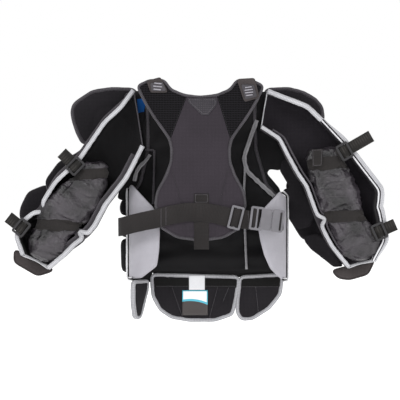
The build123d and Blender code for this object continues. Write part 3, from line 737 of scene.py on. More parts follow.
# the armhole tapes and the right lining piping take the binding tape with painted shade
liningLines = {"liningPipingRight": ([(93, -158), (91, -200), (91, -250), (96, -374)], "paintedShadeTape", 5.0),
               "liningPipingLeft": ([(-96, -126), (-97, -180), (-99, -238)], "charcoalTape", 4.5),
               "liningFoldLeft": ([(-97, -126), (-115, -125)], "charcoalTape", 4.0),
               "armholeTapeRight": ([(118, -63), (107, -92), (101, -110), (93, -133), (91, -142), (93, -156),
                                     (98, -170), (122, -193), (154, -222)], "paintedShadeTape", 9.0),
               "armholeTapeLeft": ([(-105, -135), (-114, -148), (-127, -160), (-134, -172), (-138, -190)],
                                   "paintedShadeTape", 7.5)}
for name, (points, finish, width) in liningLines.items():
    sweep(name, at(points, linerBack - 3.0), finish, "chest", width, 4.0, towardsSkin,
          ripple=0.3)

frontPads = {  # cloth, slot and pressed seams
    "sternum_plate": ("laminatedKnit", "hard_plate",
                      ([(0, -60), (0, -205)], [(-30, -75), (-22, -195)], [(30, -75), (22, -195)])),
    "belly_pad": ("warpKnit", "block_fabric",
                  ([(-50, -262), (60, -262)], [(-50, -308), (60, -308)], [(-50, -350), (60, -350)])),
}
for side, sign in sides.items():
    seams = [(sign * 62, -80), (sign * 106, -70)], [(sign * 62, -140), (sign * 106, -130)]
    frontPads["chest_pad_" + side] = ("warpKnit", "block_fabric", seams)
    for row in ("upper", "middle", "lower"):
        node = "rib_pad_" + side + "_" + row
        level = sum(boxMm(node))[2] / 2
        frontPads[node] = ("warpKnit", "block_fabric", ([(sign * 68, level), (sign * 172, level)],))
frontShape = dict(step=5.5, roundOver=14.0, rim=0.62, puff=1.5, seamDepth=3.0, seamWidth=3.5, bothSides=False)
pipingInset = 6.5  # mm from the blocks' outer face to their piping
for node, (finish, slot, seams) in frontPads.items():
    name = camelName(node)
    _, edge, _ = paddedPanel(name, node, finish, "chest", slot, 0.95, seams=seams, **frontShape)
    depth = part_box(node)[1][1] - pipingInset * mm
    sweep(name + "Piping", [np.array([p[0], depth, p[2]]) for p in edge],
          "bindingTape" if node == "sternum_plate" else "charcoalTape", "chest", 3.4, 4.4, towardsSkin,
          closed=True, step=5.0)
for side, sign in sides.items():
    low, high = boxMm("shoulder_bridge_" + side)
    centre = (low[0] + high[0]) / 2 + sign * 3.0
    yoke = [(centre, high[1] + 1, 3), (centre, high[1] - 12, 8.5), (centre, 0, 8.5), (centre, low[1] + 16, 6),
            (centre, low[1] - 1, -2)]
    pad = sweep("shoulderYoke" + side.capitalize(), np.array(yoke) * mm, "warpKnit", "chest",
                high[0] - low[0] - 4, 7.5, (0, 0, 1), square=4.0)
    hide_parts("shoulder_bridge_" + side)
    for edgeSign in (-1, 1):
        line = [(x + edgeSign * (high[0] - low[0] - 5) / 2, y, z) for x, y, z in yoke]
        sweep("shoulderYokeTape" + side.capitalize() + ("In" if edgeSign * sign < 0 else "Out"),
              np.array(line) * mm, "charcoalTape", "chest", 4.0, 8.5, (0, 0, 1), ripple=0.2)
print("chest done")

# Spine pad and belt

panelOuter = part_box("back_panel")[0][1] / mm
spine = dict(step=4.5, roundOver=9.0, rim=0.55, folds=(1.0, (60, 45), 8.0), seamWidth=2.2, seamDepth=1.5,
             seams=([(-27.7, -12), (-27.7, -20), (-58.4, -100), (-62, -128)],
                    [(33.8, -12), (33.8, -20), (58.4, -100), (62, -128)],
                    [(-60.5, -172), (-42, -234), (-25.6, -306)], [(58.4, -172), (42, -234), (27.7, -306)]),
             zones=(([(-150, 40), (-26, 40), (-27.7, -20), (-58.4, -100), (-70, -130), (-150, -130)], 1),
                    ([(150, 40), (32, 40), (33.8, -20), (58.4, -100), (70, -130), (150, -130)], 1)))
_, spineEdge, _ = paddedPanel("spinePad", "back_panel", ["laminatedKnit", "spacerMesh"], "back",
                              "back_fabric", 0.6, **spine)
sweep("spinePadTape", spineEdge, "charcoalTape", "back", 6.5, 13.0, towardsSkin, closed=True,
      ripple=0.12)
spineLines = [[(-31, -24), (-61, -100)], [(37, -24), (61, -100)],
              [(-57, -172), (-39, -234)], [(55, -172), (39, -234)]]
stitches("spinePadStitches", [at(line, panelOuter - 0.3) for line in spineLines], "back",
         "blackThread")
plate("neckPatch", [(-25, -23), (33, -23), (33, -36), (15.5, -57), (3, -57), (-25, -31)],
      (panelOuter - 1.8, panelOuter + 1), "grosgrain", "back")
stitches("neckPatchStitches", [at([(-22, -26), (30, -26), (30, -35), (14, -54), (4.5, -54), (-22, -30),
                                   (-22, -26)], panelOuter - 1.9)], "back", "darkThread", 3.0)
plate("neckPatchTape", [(1.5, -23), (6.5, -23), (6.5, -34), (1.5, -34)], (panelOuter - 2.6, panelOuter - 1.2),
      "grosgrain", "back")

beltBox = boxMm("belt_back")
keeperBox = boxMm("belt_keeper")
beltDepth = (beltBox[0][1] + beltBox[1][1]) / 2
keeperX, keeperDepth = (keeperBox[0][0] + keeperBox[1][0]) / 2, (keeperBox[0][1] + keeperBox[1][1]) / 2
keeper = sweep("beltKeeper", at([(keeperX, keeperBox[1][2]), (keeperX, keeperBox[0][2])], keeperDepth),
               "elasticWebbing", "back", keeperBox[1][0] - keeperBox[0][0], 2.0,
               towardsSkin, square=8.0)
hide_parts("belt_keeper")
half = (keeperBox[1][0] - keeperBox[0][0]) / 2 - 2.5
top = keeperBox[1][2] - 2
stitches("beltKeeperStitches", [at([(keeperX - half, top), (keeperX + half, top), (keeperX + half, top - 15),
                                    (keeperX - half, top - 15), (keeperX - half, top)], keeperDepth - 1.1)],
         "back", "darkThread", 2.6)
anchorBox = boxMm("belt_anchor_left")
sideX = anchorBox[0][0] + 1.0
beltPath = [(sideX, anchorBox[1][1] - 2, -286), (sideX, 20, -286), (sideX + 0.5, -12, -285.5),
            (sideX + 8, -28, -284), (-134, -44, -277), (-112, -57, -272), (-94, beltDepth, -268.5),
            (-60, beltDepth - 0.4, -260), (-30, beltDepth, -254.5), (5, beltDepth, -254),
            (30, beltDepth, -258), (54, beltDepth, -264), (beltBox[1][0], beltDepth, -271)]
beltUp = [(-1, 0, 0), (-1, 0, 0), (-1, -0.2, 0), (-0.85, -0.5, 0), (-0.45, -0.9, 0),
          (-0.4, -0.9, 0)] + [towardsSkin] * 7
belt = sweep("waistBelt", np.array(beltPath) * mm, "elasticWebbing", None, 38.0, 2.0, beltUp,
             square=9.0, step=4.0, soften=1)
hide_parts("belt_back", "belt_anchor_left")
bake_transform(belt)
stitches("waistBeltStitches", [at([(-80, -248), (-80, -282)], beltDepth - 1.3),
                               at([(-70, -246), (-70, -279)], beltDepth - 1.3),
                               at([(beltBox[1][0] - 7, -254), (beltBox[1][0] - 7, -288)], beltDepth - 1.1)],
         "back", "darkThread", 2.6)
stubBox = boxMm("belt_anchor_right")
stubPath = [(stubBox[0][0] + 1, stubBox[0][1] + 1.5, -274), (stubBox[0][0] + 12, -48, -274),
            (stubBox[0][0] + 17, -24, -274), (stubBox[0][0] + 20, 2, -274),
            (stubBox[0][0] + 22, stubBox[1][1], -274)]
stub = sweep("beltStub", np.array(stubPath) * mm, "elasticWebbing", "chest", 37.0, 2.0,
             [(0.1, -1, 0), (0.7, -0.7, 0), (1, -0.1, 0), (1, 0, 0), (1, 0, 0)], square=9.0, soften=1)
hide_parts("belt_anchor_right")


def webbingHump(name, place, turn, depth, width, finish, body, reach=8.5, lift=5.0):
    # webbing that comes up through a slide, over its middle bar and down again
    c, s = math.cos(math.radians(turn)), math.sin(math.radians(turn))
    shape = [(-reach, 0.4), (-reach * 0.75, -0.6), (-reach * 0.45, -lift * 0.8), (-reach * 0.2, -lift),
             (reach * 0.2, -lift), (reach * 0.45, -lift * 0.8), (reach * 0.75, -0.6), (reach, 0.4)]
    path = [np.array([place[0] + u * c, depth + d, place[1] + u * s]) * mm for u, d in shape]
    return sweep(name, path, finish, body, width, 1.6, towardsSkin, square=9.0, step=1.2, soften=2)


hardPieces = {
    "belt_slide": ("beltSlide", "greyAcetal", "belt_slide", "buckle_plastic", 1.2),
    "buckle_frame": ("buckleFrame", "greyAcetal", "back", "buckle_plastic", 0.8),
    "buckle_socket": ("buckleSocket", "greyAcetal", "buckle_socket", "buckle_plastic", 1.4),
    "tab_badge_left": ("tabBadgeLeft", "mouldedRubber", "tab_left", "badge_rubber", 0.8),
    "tab_badge_right": ("tabBadgeRight", "mouldedRubber", "tab_right", "badge_rubber", 0.8),
}
for end in ("upper", "lower"):
    for side in sides:
        hardPieces["arm_slide_" + end + "_" + side] = ("armSlide" + end.capitalize() + side.capitalize(),
                                                       "darkAcetal", "slide_" + end + "_" + side,
                                                       "slide_plastic", 1.1)
for node, (name, finish, body, slot, bevelMm) in hardPieces.items():
    softenedCopy(name, node, finish, body, bevelMm)

frameBar = 12.5  # mm from the buckle frame's near side to the bar that holds the belt
slideMid, frameMid = sum(boxMm("belt_slide")) / 2, boxMm("buckle_frame")[0][0] + frameBar
webbingHump("beltOverSlide", (slideMid[0], slideMid[2]), -14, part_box("belt_slide")[1][1] / mm, 37.0,
            "elasticWebbing", "belt_slide")
webbingHump("beltOverFrame", (frameMid, -266.2), -7, beltDepth - 3.2, 37.0, "elasticWebbing", "back",
            lift=4.6)
print("back and belt done")

# Shoulder tabs

# middle, slant in degrees, ridges, their spacing
tabSlots = {"left": (-87, 0.5, -6, 3, 6.2), "right": (98, -9, 7, 4, 5.4)}
for side, (x, z, slant, count, spacing) in tabSlots.items():
    body = "tab_" + side
    piece, edge, _ = paddedPanel("shoulderTab" + side.capitalize(), "shoulder_tab_" + side, "heavyTricot",
                                 body, "tab_fabric", 0.4, step=3.0, roundOver=3.0, rim=0.7)
    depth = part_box("tab_badge_" + side)[0][1] / mm
    c, s = math.cos(math.radians(slant)), math.sin(math.radians(slant))
    for k in range(count):
        offset = (k - (count - 1) / 2) * spacing
        middle = (x - s * offset, z + c * offset)
        run = 9.0 - abs(k - (count - 1) / 2) * 1.5
        sweep("tabRidge" + side.capitalize() + str(k + 1),
              at([(middle[0] - c * run, middle[1] - s * run), (middle[0] + c * run, middle[1] + s * run)],
                 depth - 0.1), "paleRubber", body, 2.2, 1.6, towardsSkin, step=1.5)
print("tabs done")

# Side wings

wingTrims = {  # inset from the outer edge, lift off the cloth, finish and width
    "Piping": (3.5, 5.2, "paleTape", 8.5), "Seam": (10.5, 8.2, "strapFlat", 3.2),
}
for side, sign in sides.items():
    node = "side_wing_" + side
    low, high = boxMm(node)
    seamCorner = np.array([low[0] if sign < 0 else high[0], high[1]])
    edgeCorner = np.array([high[0] if sign < 0 else low[0], low[1]])
    run = (edgeCorner - seamCorner) if sign < 0 else (seamCorner - edgeCorner)
    turn = math.degrees(math.atan2(run[1], run[0]))
    piece, edge, facing = paddedPanel("sideWing" + side.capitalize(), node, "brushedLoop", "wing_" + side,
                                      "wing_fabric", 0.7, turn=turn, step=4.0, roundOver=6.0, rim=0.45,
                                      folds=(1.2, (50, 70), 5.0 + sign), puff=1.5)
    borderX = seamCorner[0]
    outerRun = cut(edge, lambda p: abs(p[0] - borderX) < 13 and p[2] < -205)
    inwards = np.array([-sign * abs(facing[1]), -abs(facing[0]), 0])
    for name, (inset, lift, finish, width) in wingTrims.items():
        sweep("sideWing" + name + side.capitalize(),
              [p + (facing * lift + inwards * inset) * mm for p in outerRun], finish, "wing_" + side,
              width, 4.0, facing, ripple=0.15)
print("wings done")

# Belly flaps and labels

flaps = {"center": dict(seams=([(-70, -386), (-40, -472)], [(34, -412), (18, -472)],
                               [(62, -400), (46, -440)]),
                        band=[(-96, -394), (76, -396), (75, -412), (-95, -411)]),
         "right": dict(seams=([(112, -396), (120, -470)],),
                       band=[(86, -396), (166, -393), (165, -410), (85, -412)]),
         "left": dict(seams=(), band=None)}
for key, flap in flaps.items():
    node, body = "belly_flap_" + key, "flap_" + key
    turn = 0.0
    if key == "left":
        low, high = boxMm(node)
        turn = math.degrees(math.atan2(high[1] - low[1] - 6, high[0] - low[0] - 10))
    piece, edge, facing = paddedPanel("bellyFlap" + key.capitalize(), node, "laminatedBlack", body,
                                      "flap_fabric", 0.6, step=4.0, roundOver=8.0, rim=0.55, puff=1.2,
                                      seams=flap["seams"], seamDepth=2.2, turn=turn,
                                      folds=(1.0, (50, 30), 2.0))
    sweep("bellyFlapTape" + key.capitalize(), edge, "greyTape", body, 8.5,
          piece["thick"] + 0.8, facing, closed=True, ripple=0.1)
    if flap["band"]:
        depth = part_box(node)[0][1] / mm
        stitches("bellyFlapStitches" + key.capitalize(),
                 [at([(x + 1.6, z) for x, z in seam], depth + 0.6) for seam in flap["seams"]], body,
                 "darkThread", 3.2)
        plate("bellyBand" + key.capitalize(), flap["band"], (depth - 0.9, depth + 1.5), "strapFlat", body,
              0.4)
        low = flap["band"][3][1] + 1.5
        stitches("bellyBandStitches" + key.capitalize(),
                 [at([(flap["band"][3][0] + 4, low), (flap["band"][2][0] - 4, low)], depth - 1.0)], body,
                 "darkThread", 3.2)


def curledSheet(name, node, finish, body, curlMm, thickMm):
    # a small hanging sheet: its foot curls a little towards the viewer
    low, high = boxMm(node)
    columns, rows = 12, 12
    points, faces = [], []
    for back in (0, 1):
        for r in range(rows + 1):
            for c in range(columns + 1):
                x = low[0] + (high[0] - low[0]) * c / columns
                z = high[2] - (high[2] - low[2]) * r / rows
                bend = curlMm * (r / rows) ** 2 + 0.35 * math.sin(3.1 * c / columns) * r / rows
                points.append((x * mm, (low[1] - bend + back * thickMm) * mm, z * mm))
    n, across = (rows + 1) * (columns + 1), columns + 1
    for r in range(rows):
        for c in range(columns):
            a = r * across + c
            faces += [(a, a + across, a + across + 1, a + 1),
                      (n + a, n + a + 1, n + a + across + 1, n + a + across)]
    ring = list(range(columns)) + [r * across + columns for r in range(rows)]
    ring += [rows * across + columns - c for c in range(columns)] + [(rows - r) * across for r in range(rows)]
    for i, a in enumerate(ring):
        b = ring[(i + 1) % len(ring)]
        faces.append((a, b, n + b, n + a))
    obj = newPiece(name, points, faces, finish)
    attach(obj, body)
    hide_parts(node)
    return obj


label = curledSheet("careLabel", "care_label", "satinLabel", "care_label", 0.6, 0.5)
curledSheet("hangTag", "hang_tag", "printedCard", "hang_tag", 0.8, 0.7)
print("flaps and labels done")

# Shoulders

for side, sign in sides.items():
    cap = side.capitalize()
    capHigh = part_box("shoulder_cap_" + side)[1][1]
    piece, edge, _ = paddedPanel("shoulderCap" + cap, "shoulder_cap_" + side, "laminatedBlack", "cap_" + side,
                                 "cap_fabric", 0.8, step=5.0, roundOver=10.0, rim=0.6, puff=1.0,
                                 folds=(1.2, (60, 40), 4.0),
                                 seams=([(sign * 140, -20), (sign * 215, -40), (sign * 232, -88)],),
                                 seamDepth=1.2)
    sweep("shoulderCapTape" + cap, edge, "charcoalTape", "cap_" + side, 8.5,
          piece["thick"] + 1.0, towardsSkin, closed=True, ripple=0.12)
    hangerBack, hangerFront = (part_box("arm_hanger_" + side)[k][1] / mm for k in (0, 1))
    stem = [(sign * 147, hangerFront + 0.8, -22), (sign * 147, capHigh / mm - 5, -22)]
    sweep("shoulderCapBlock" + cap, np.array(stem) * mm, "warpKnit", "cap_" + side, 20.0, 30.0,
          (0, 0, 1), square=5.0)
    paddedPanel("armHanger" + cap, "arm_hanger_" + side, "brushedTricot", "hanger_" + side, "cap_fabric", 0.3,
                step=4.0, roundOver=4.0, rim=0.6, folds=(1.0, (30, 40), 9.0))
plate("liningPatch", [(-133, -19), (-117, -17), (-115, -30), (-118, -45), (-131, -48)],
      (hangerBack - 0.9, hangerBack + 0.6), "blueKnit", "hanger_left", 0.4)

# Elastic cloth between the armhole and the arm, from the liner's side to the arm's side.
gussets = {"left": dict(outline=[(-100, -10), (-122, -2), (-138, -1), (-138, -12), (-130, -60), (-124, -100),
                                 (-124, -125), (-139, -158), (-154, -189), (-170, -209), (-174, -226),
                                 (-160, -232), (-146, -222), (-128, -200), (-108, -160), (-100, -100)],
                        start=(-0.122, -0.15), end=(-0.156, -0.185)),
           "right": dict(outline=[(100, -10), (122, -3), (138, -3), (138, -12), (132, -60), (132, -84),
                                  (146, -90), (162, -106), (180, -141), (176, -152), (166, -168), (144, -165),
                                  (139, -174), (166, -206), (168, -222), (150, -222), (126, -204),
                                  (100, -176)], start=(0.118, -0.16), end=(0.16, -0.13))}
gusset = dict(step=4.5, depth=51.0, thick=1.6, fold=2.4)
# how the folds fade near an edge, and their size
slack = dict(reach=12.0, least=0.15, share=1.6, size=(26, 60))


def looseCloth(name, outline, depth, thick, fold, step, finish, seed):
    # a sheet of slack cloth in the plane of the body, with soft folds
    border = spaced(np.array(outline, float), step, closed=True, soften=1)
    flat, faces = filled(border, step)
    near = np.clip(distanceTo(flat, border, closed=True) / slack["reach"], slack["least"], 1)
    lift = depth + fold * slack["share"] * wrinkles(flat, slack["size"], seed) * near
    points = [(x * mm, (d + back) * mm, z * mm) for back in (0, thick) for (x, z), d in zip(flat, lift)]
    obj = newPiece(name, points, twoSkins(faces, len(flat)), finish)
    turnOutwards(obj.data)
    span = (border.max(axis=0) - border.min(axis=0)) * mm
    ahead = np.roll(border, -1, axis=0)
    area = abs(float(np.sum(border[:, 0] * ahead[:, 1] - border[:, 1] * ahead[:, 0]))) / 2 * mm ** 2
    return obj, (float(span[0]), float(span[1])), area


for side, g in gussets.items():
    cloth, flat, area = looseCloth("armholeGusset" + side.capitalize(), g["outline"], gusset["depth"],
                                   gusset["thick"], gusset["fold"], gusset["step"], "brushedTricot",
                                   11.0)
    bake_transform(cloth)

# Black cloth that closes the gaps: outline, depth, body, what it rests on and, where it folds,
# the second body with two heights. Nothing blends a cloth between the bodies; one with a second body is left
# unattached.
looseCloths = {"armSkirtRight": ([(165, -167), (170, -148), (182, -138), (196, -166), (213, -203),
                                  (232, -240), (240, -262), (228, -285), (205, -292), (190, -278),
                                  (181, -262), (173, -255), (173, -207), (187, -204)], 46.5,
                                 "upper_arm_right", "bicepGuardRight", None),
               "forearmSkirtRight": ([(217, -306), (240, -300), (262, -310), (287, -350), (298, -368),
                                      (278, -370), (254, -350), (232, -334), (217, -316)], 46.5,
                                     "forearm_right", "forearmGuardRight", None),
               "flapHingeCenter": ([(-101, -372), (84, -372), (82, -391), (-98, -391)], 50.0, "chest",
                                   "chestLiner", ("flap_center", -0.376, -0.389)),
               "flapHingeRight": ([(74, -370), (160, -370), (162, -391), (74, -391)], 51.6, "chest",
                                  "chestLiner", ("flap_right", -0.376, -0.389)),
               "flapHingeLeft": ([(-146, -372), (-98, -370), (-104, -402), (-142, -404)], 49.0, "chest",
                                 "chestLiner", None)}
for name, (outline, depth, body, under, hinge) in looseCloths.items():
    slot = "arm_fabric" if "Skirt" in name else "liner_fabric"
    cloth, flat, area = looseCloth(name, outline, depth, gusset["thick"], 1.2, gusset["step"],
                                   "laminatedBlack" if "Skirt" in name else "brushedTricot", 5.0)
    if hinge:
        middle = (outline[0][0] + outline[1][0]) / 2 * mm
        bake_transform(cloth)
    else:
        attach(cloth, body)
print("shoulders done")

# Arms

# Stations down each arm: the outer and the inner edge, out from the edge of the shoulder and in height.
shoulderEdge = 114.0
arms = {"left": [((24, 0), (4, -123)), ((50, -35), (20, -156)), ((84, -66), (37, -189)),
                 ((137, -143), (78, -242)), ((186, -189), (100, -285)), ((221, -244), (117, -305)),
                 ((258, -275), (141, -322)), ((268, -303), (162, -344)), ((254, -340), (194, -371))],
        "right": [((24, -2), (10, -84)), ((108, -35), (45, -107)), ((135, -61), (61, -139)),
                  ((180, -109), (82, -178)), ((223, -166), (99, -202)), ((256, -209), (110, -232)),
                  ((254, -242), (125, -273)), ((260, -273), (139, -303)), ((266, -312), (152, -326)),
                  ((244, -353), (186, -368))]}
elbowAt = {"left": 5, "right": 6}
channel = dict(flare=9.0, flareIn=40.0, flareOut=60.0, wall=9.0, floor=12.0, corner=20.0, rim=-22.0,
               back=50.0, stiff=32.0, tuckWidth=7.0, tuckIn=15.0, tuckDown=12.0, foldHeight=1.3, blend=30.0)
flareShare = {"left": 1.0, "right": 0.45}
# how far the outer and the inner rim fold in at the elbow
tucks = {"left": (1.0, 1.0), "right": (0.12, 0.85)}


def placed(side, point):
    return np.array([sides[side] * (shoulderEdge + point[0]), point[1]], float)


def travelledDown(both):
    # how far each pair of edge points is down the middle line
    middle = (both[:, :2] + both[:, 2:]) / 2
    return np.concatenate([[0], np.cumsum(np.linalg.norm(np.diff(middle, axis=0), axis=1))])


def rowsAt(both, gaps, where, soften):
    return smoothed(np.stack([np.interp(where, gaps, both[:, k]) for k in range(4)], axis=1), soften)


def stationCurves(side, pairs, step=4.0, soften=2):
    # the pairs, filled in evenly along the middle line
    both = np.array([np.concatenate([placed(side, a), placed(side, b)]) for a, b in pairs])
    gaps = travelledDown(both)
    where = np.linspace(0, gaps[-1], int(gaps[-1] / step) + 1)
    return rowsAt(both, gaps, where, soften), where, gaps


def bendAtElbow(obj):
    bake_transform(obj)


def troughSection(length):
    # the wall's outline around the trough, outer skin first, as (how far across, depth, skin);
    # skin is 1 on the outside, 2 on the inner edge's lining and 0 on the rest
    c = channel
    points = []
    turns = [i / 5 * math.pi / 2 for i in range(6)]
    r = c["corner"]
    for d in np.linspace(c["rim"], c["back"] - r, 5)[:-1]:
        points.append((0.0, d, 1))
    points += [(r - r * math.cos(t), c["back"] - r + r * math.sin(t), 1) for t in turns]
    points += [(r + (length - 2 * r) * f, c["back"], 1) for f in (0.25, 0.5, 0.75)]
    points += [(length - r + r * math.sin(t), c["back"] - r + r * math.cos(t), 1) for t in turns]
    for d in np.linspace(c["back"] - r, c["rim"], 5)[1:]:
        points.append((length, d, 1))
    w, q = c["wall"], c["corner"] - c["wall"] + 4
    floor = c["back"] - c["floor"]
    points.append((length - w * 0.5, c["rim"] - w * 0.35, 0))
    for d in np.linspace(c["rim"], floor - q, 5)[:-1]:
        points.append((length - w, d, 2))
    points += [(length - w - q + q * math.cos(t), floor - q + q * math.sin(t), 0) for t in turns]
    points += [(length - w - q - (length - 2 * w - 2 * q) * f, floor, 0) for f in (0.25, 0.5, 0.75)]
    points += [(w + q - q * math.sin(t), floor - q + q * math.cos(t), 0) for t in turns]
    for d in np.linspace(floor - q, c["rim"], 5)[1:]:
        points.append((w, d, 0))
    points.append((w * 0.5, c["rim"] - w * 0.35, 0))
    return points


def armTrough(side):
    curves, where, gaps = stationCurves(side, arms[side])
    elbow = gaps[elbowAt[side]]
    c = channel
    points, rims = [], {"outer": [], "inner": []}
    for i, (row, s) in enumerate(zip(curves, where)):
        outer, inner = row[:2], row[2:]
        length = np.linalg.norm(inner - outer)
        across = (inner - outer) / length
        pinch = math.exp(-((s - elbow) / c["tuckWidth"]) ** 2)
        flare = c["flare"] * min(1, s / c["flareIn"]) * max(0.0,
                                                            min(1, (elbow - s)
                / c["flareOut"])) * flareShare[side]
        section = troughSection(length)
        for u, d, _ in section:
            near = max(0.0, (c["stiff"] - d) / (c["stiff"] - c["rim"]))
            tuck = tucks[side][0 if u < length / 2 else 1]
            inward = c["tuckIn"] * tuck * pinch * near ** 2 * (1 if u < length / 2 else -1)
            if u < length / 2:
                inward -= flare * math.sin(math.pi * min(1, max(0, (d - c["rim"]) / (c["back"] - c["rim"]))))
            fold = c["foldHeight"] * noise.noise(Vector((s / 16, u / 22, d / 30 + 5)))
            flat = outer + across * (u + inward)
            depth = d + c["tuckDown"] * tuck * pinch * near ** 2 + fold * (1 if d > 0 else 0.3)
            depth = min(depth, c["back"])
            points.append(np.array([flat[0], depth, flat[1]]) * mm)
        for key, u in (("outer", c["wall"] / 2), ("inner", length - c["wall"] / 2)):
            tuck = tucks[side][0 if key == "outer" else 1]
            flat = outer + across * (u + c["tuckIn"] * tuck * pinch * (1 if key == "outer" else -1))
            rims[key].append(np.array([flat[0], c["rim"] + c["tuckDown"] * tuck * pinch, flat[1]]) * mm)
    skins = [skin for _, _, skin in section]
    kinds = [2 if a == 2 else 1 if a == 1 and b == 1 else 0 for a, b in zip(skins, skins[1:] + skins[:1])]
    kinds = kinds * (len(curves) - 1) + [0, 0]
    # the right arm's trough takes the lining with painted light; the left arm's takes the plain black lining
    obj = newPiece("armTrough" + side.capitalize(), points, tubeFaces(len(curves), len(section)),
                   ["paintedLitLining" if side == "right" else "brushedTricot", "laminatedKnit", "laminatedBlack"],
                   kinds)
    turnOutwards(obj.data)
    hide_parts("upper_arm_shell_" + side, "forearm_shell_" + side)
    bendAtElbow(obj)
    return rims


tapeWidths = {"left": {"outer": 9.0, "inner": 9.5}, "right": {"outer": 10.0, "inner": 8.0}}
rollStart, rollOut, rollBack = -64.0, 7.0, 6.0  # the padded roll outside the right arm's outer rim


def armTape(name, path, finish, width, height):
    tape = sweep(name, path, finish, None, width, height, towardsSkin, step=3.0, soften=1, ripple=0.12)
    bendAtElbow(tape)


for side, sign in sides.items():
    rims = armTrough(side)
    for key, rim in rims.items():
        name = "armTape" + key.capitalize() + side.capitalize()
        if (side, key) == ("right", "outer"):
            upper = [p for p in rim if p[2] / mm > rollStart - 3]
            lower = [p for p in rim if p[2] / mm <= rollStart]
            armTape(name + "Top", upper, "bindingTape", tapeWidths[side][key], 8.0)
            armTape(name, lower, "paleTape", 3.6, 7.0)
            heading = np.gradient(np.array(lower), axis=0)
            heading /= np.linalg.norm(heading, axis=1)[:, None]
            outwards = np.stack([-heading[:, 2], 0 * heading[:, 0], heading[:, 0]], axis=1)
            order = np.arange(len(lower))
            fade = np.clip(np.minimum(order, order[::-1]) / 12, 0.2, 1)[:, None]
            roll = np.array(lower) + (outwards * rollOut * fade + np.array([0, rollBack, 0])) * mm
            armTape("armRollRight", roll, "bindingTape", 11.0, 11.0)
        else:
            armTape(name, rim, "bindingTape", tapeWidths[side][key], 8.0)
    # charcoal edge of the lining, beside the inner rim and 6 mm below it
    beside = np.array([sign * 9.5, 6.0, 3.325]) * mm
    band = [p + beside for p in rims["inner"][6:-6]]
    armTape("armLiningEdge" + side.capitalize(), band, "charcoalTape", 9.0 if side == "left" else 4.0,
            2.5)
    mouth = [rims["outer"][0], (rims["outer"][0] + rims["inner"][0]) / 2 + np.array([0, 0.02, 0]),
             rims["inner"][0]]
    sweep("armMouthTape" + side.capitalize(), mouth, "bindingTape" if side == "right" else "charcoalTape",
          "upper_arm_" + side, 2.6, 4.0, towardsSkin, step=4.0)
    wristEnd = [rims["outer"][-1], (rims["outer"][-1] + rims["inner"][-1]) / 2 + np.array([0, 0.045, 0]),
                rims["inner"][-1]]
    sweep("armCuffTape" + side.capitalize(), wristEnd, "bindingTape", "forearm_" + side, 6.0,
          6.0, towardsSkin, step=4.0, soften=6)
print("arm troughs done")

# The quilted nylon sleeves: their outer and inner edges down the arm, in mm on the body.
sleeves = {"left": dict(edges=[((-236, -150), (-196, -151)), ((-262.8, -181.2), (-186.5, -174.3)),
                               ((-294.2, -209.1), (-194.7, -211.2)), ((-320.4, -230.6), (-212.2, -241.9)),
                               ((-335, -252.2), (-230.6, -268.6)), ((-341.3, -282.9), (-249.1, -291.1)),
                               ((-347.5, -311.6), (-271.6, -317.8)), ((-345.4, -338.3), (-279.8, -344.4)),
                               ((-329, -354.7), (-300.3, -358.8))], bands=(0.12, 0.66), bandHalf=0.055),
           "right": dict(edges=[((277.8, -118.9), (222, -125)), ((296.2, -143.5), (216.3, -153.8)),
                                ((310.6, -174.3), (223.4, -180.4)), ((323.9, -207.1), (231.6, -209.1)),
                                ((331.1, -237.8), (241.9, -239.9)), ((341, -262.4), (251.1, -266.5)),
                                ((353.6, -287), (266.5, -295.2)), ((368, -311.6), (279.8, -317.8)),
                                ((366, -334.2), (293.1, -340.3)), ((345.4, -352.6), (307.5, -354.7))],
                         bands=(0.14, 0.60), bandHalf=0.06)}
# mm: lengths of the folds and gathers along, across and through the sleeve, and their heights
creases = dict(
    fold=(13.0, 50.0, 40.0), swell=(24.0, 22.0, 20.0), gather=(16.0, 4.5, 6.0), sway=9.0, foldHeight=3.0,
    swellHeight=2.2, gatherHeight=2.2, gatherReach=14.0, bandShare=0.25)
sleeve = dict(rings=76, around=44, middle=-7.0, depth=18.0, endDome=16.0, endThin=0.22, endNarrow=0.82,
              bandSqueeze=0.94, pressure=3.5, loose=-0.16, cap=9.0, frames=20)


def swollen(obj, held, cap, pressure, loose):
    # cloth pressed out from inside, then made a plain mesh; no point moves further than cap
    mesh = obj.data
    before = np.array([v.co for v in mesh.vertices])
    group = obj.vertex_groups.new(name="held")
    for i, weight in enumerate(held):
        if weight > 0:
            group.add([i], float(weight), "REPLACE")
    cloth = obj.modifiers.new("cloth", "CLOTH")
    s = cloth.settings
    s.quality = 6
    s.mass = 0.15
    s.use_pressure = True
    s.uniform_pressure_force = pressure
    s.effector_weights.gravity = 0
    s.vertex_group_mass = "held"
    s.pin_stiffness = 20
    s.shrink_min = loose
    s.bending_stiffness = 0.15
    s.tension_stiffness = s.compression_stiffness = 12
    cloth.collision_settings.use_collision = False
    scene, frames = bpy.context.scene, sleeve["frames"]
    cloth.point_cache.frame_start, cloth.point_cache.frame_end = 1, frames
    for f in range(1, frames + 1):
        scene.frame_set(f)
    shaped = obj.evaluated_get(bpy.context.evaluated_depsgraph_get())
    after = np.array([v.co for v in shaped.data.vertices])
    obj.modifiers.remove(cloth)
    scene.frame_set(1)
    move = after - before
    far = np.linalg.norm(move, axis=1)
    move *= np.minimum(1, cap * mm / np.maximum(far, 1e-9))[:, None]
    mesh.vertices.foreach_set("co", (before + move).ravel())
    mesh.update()


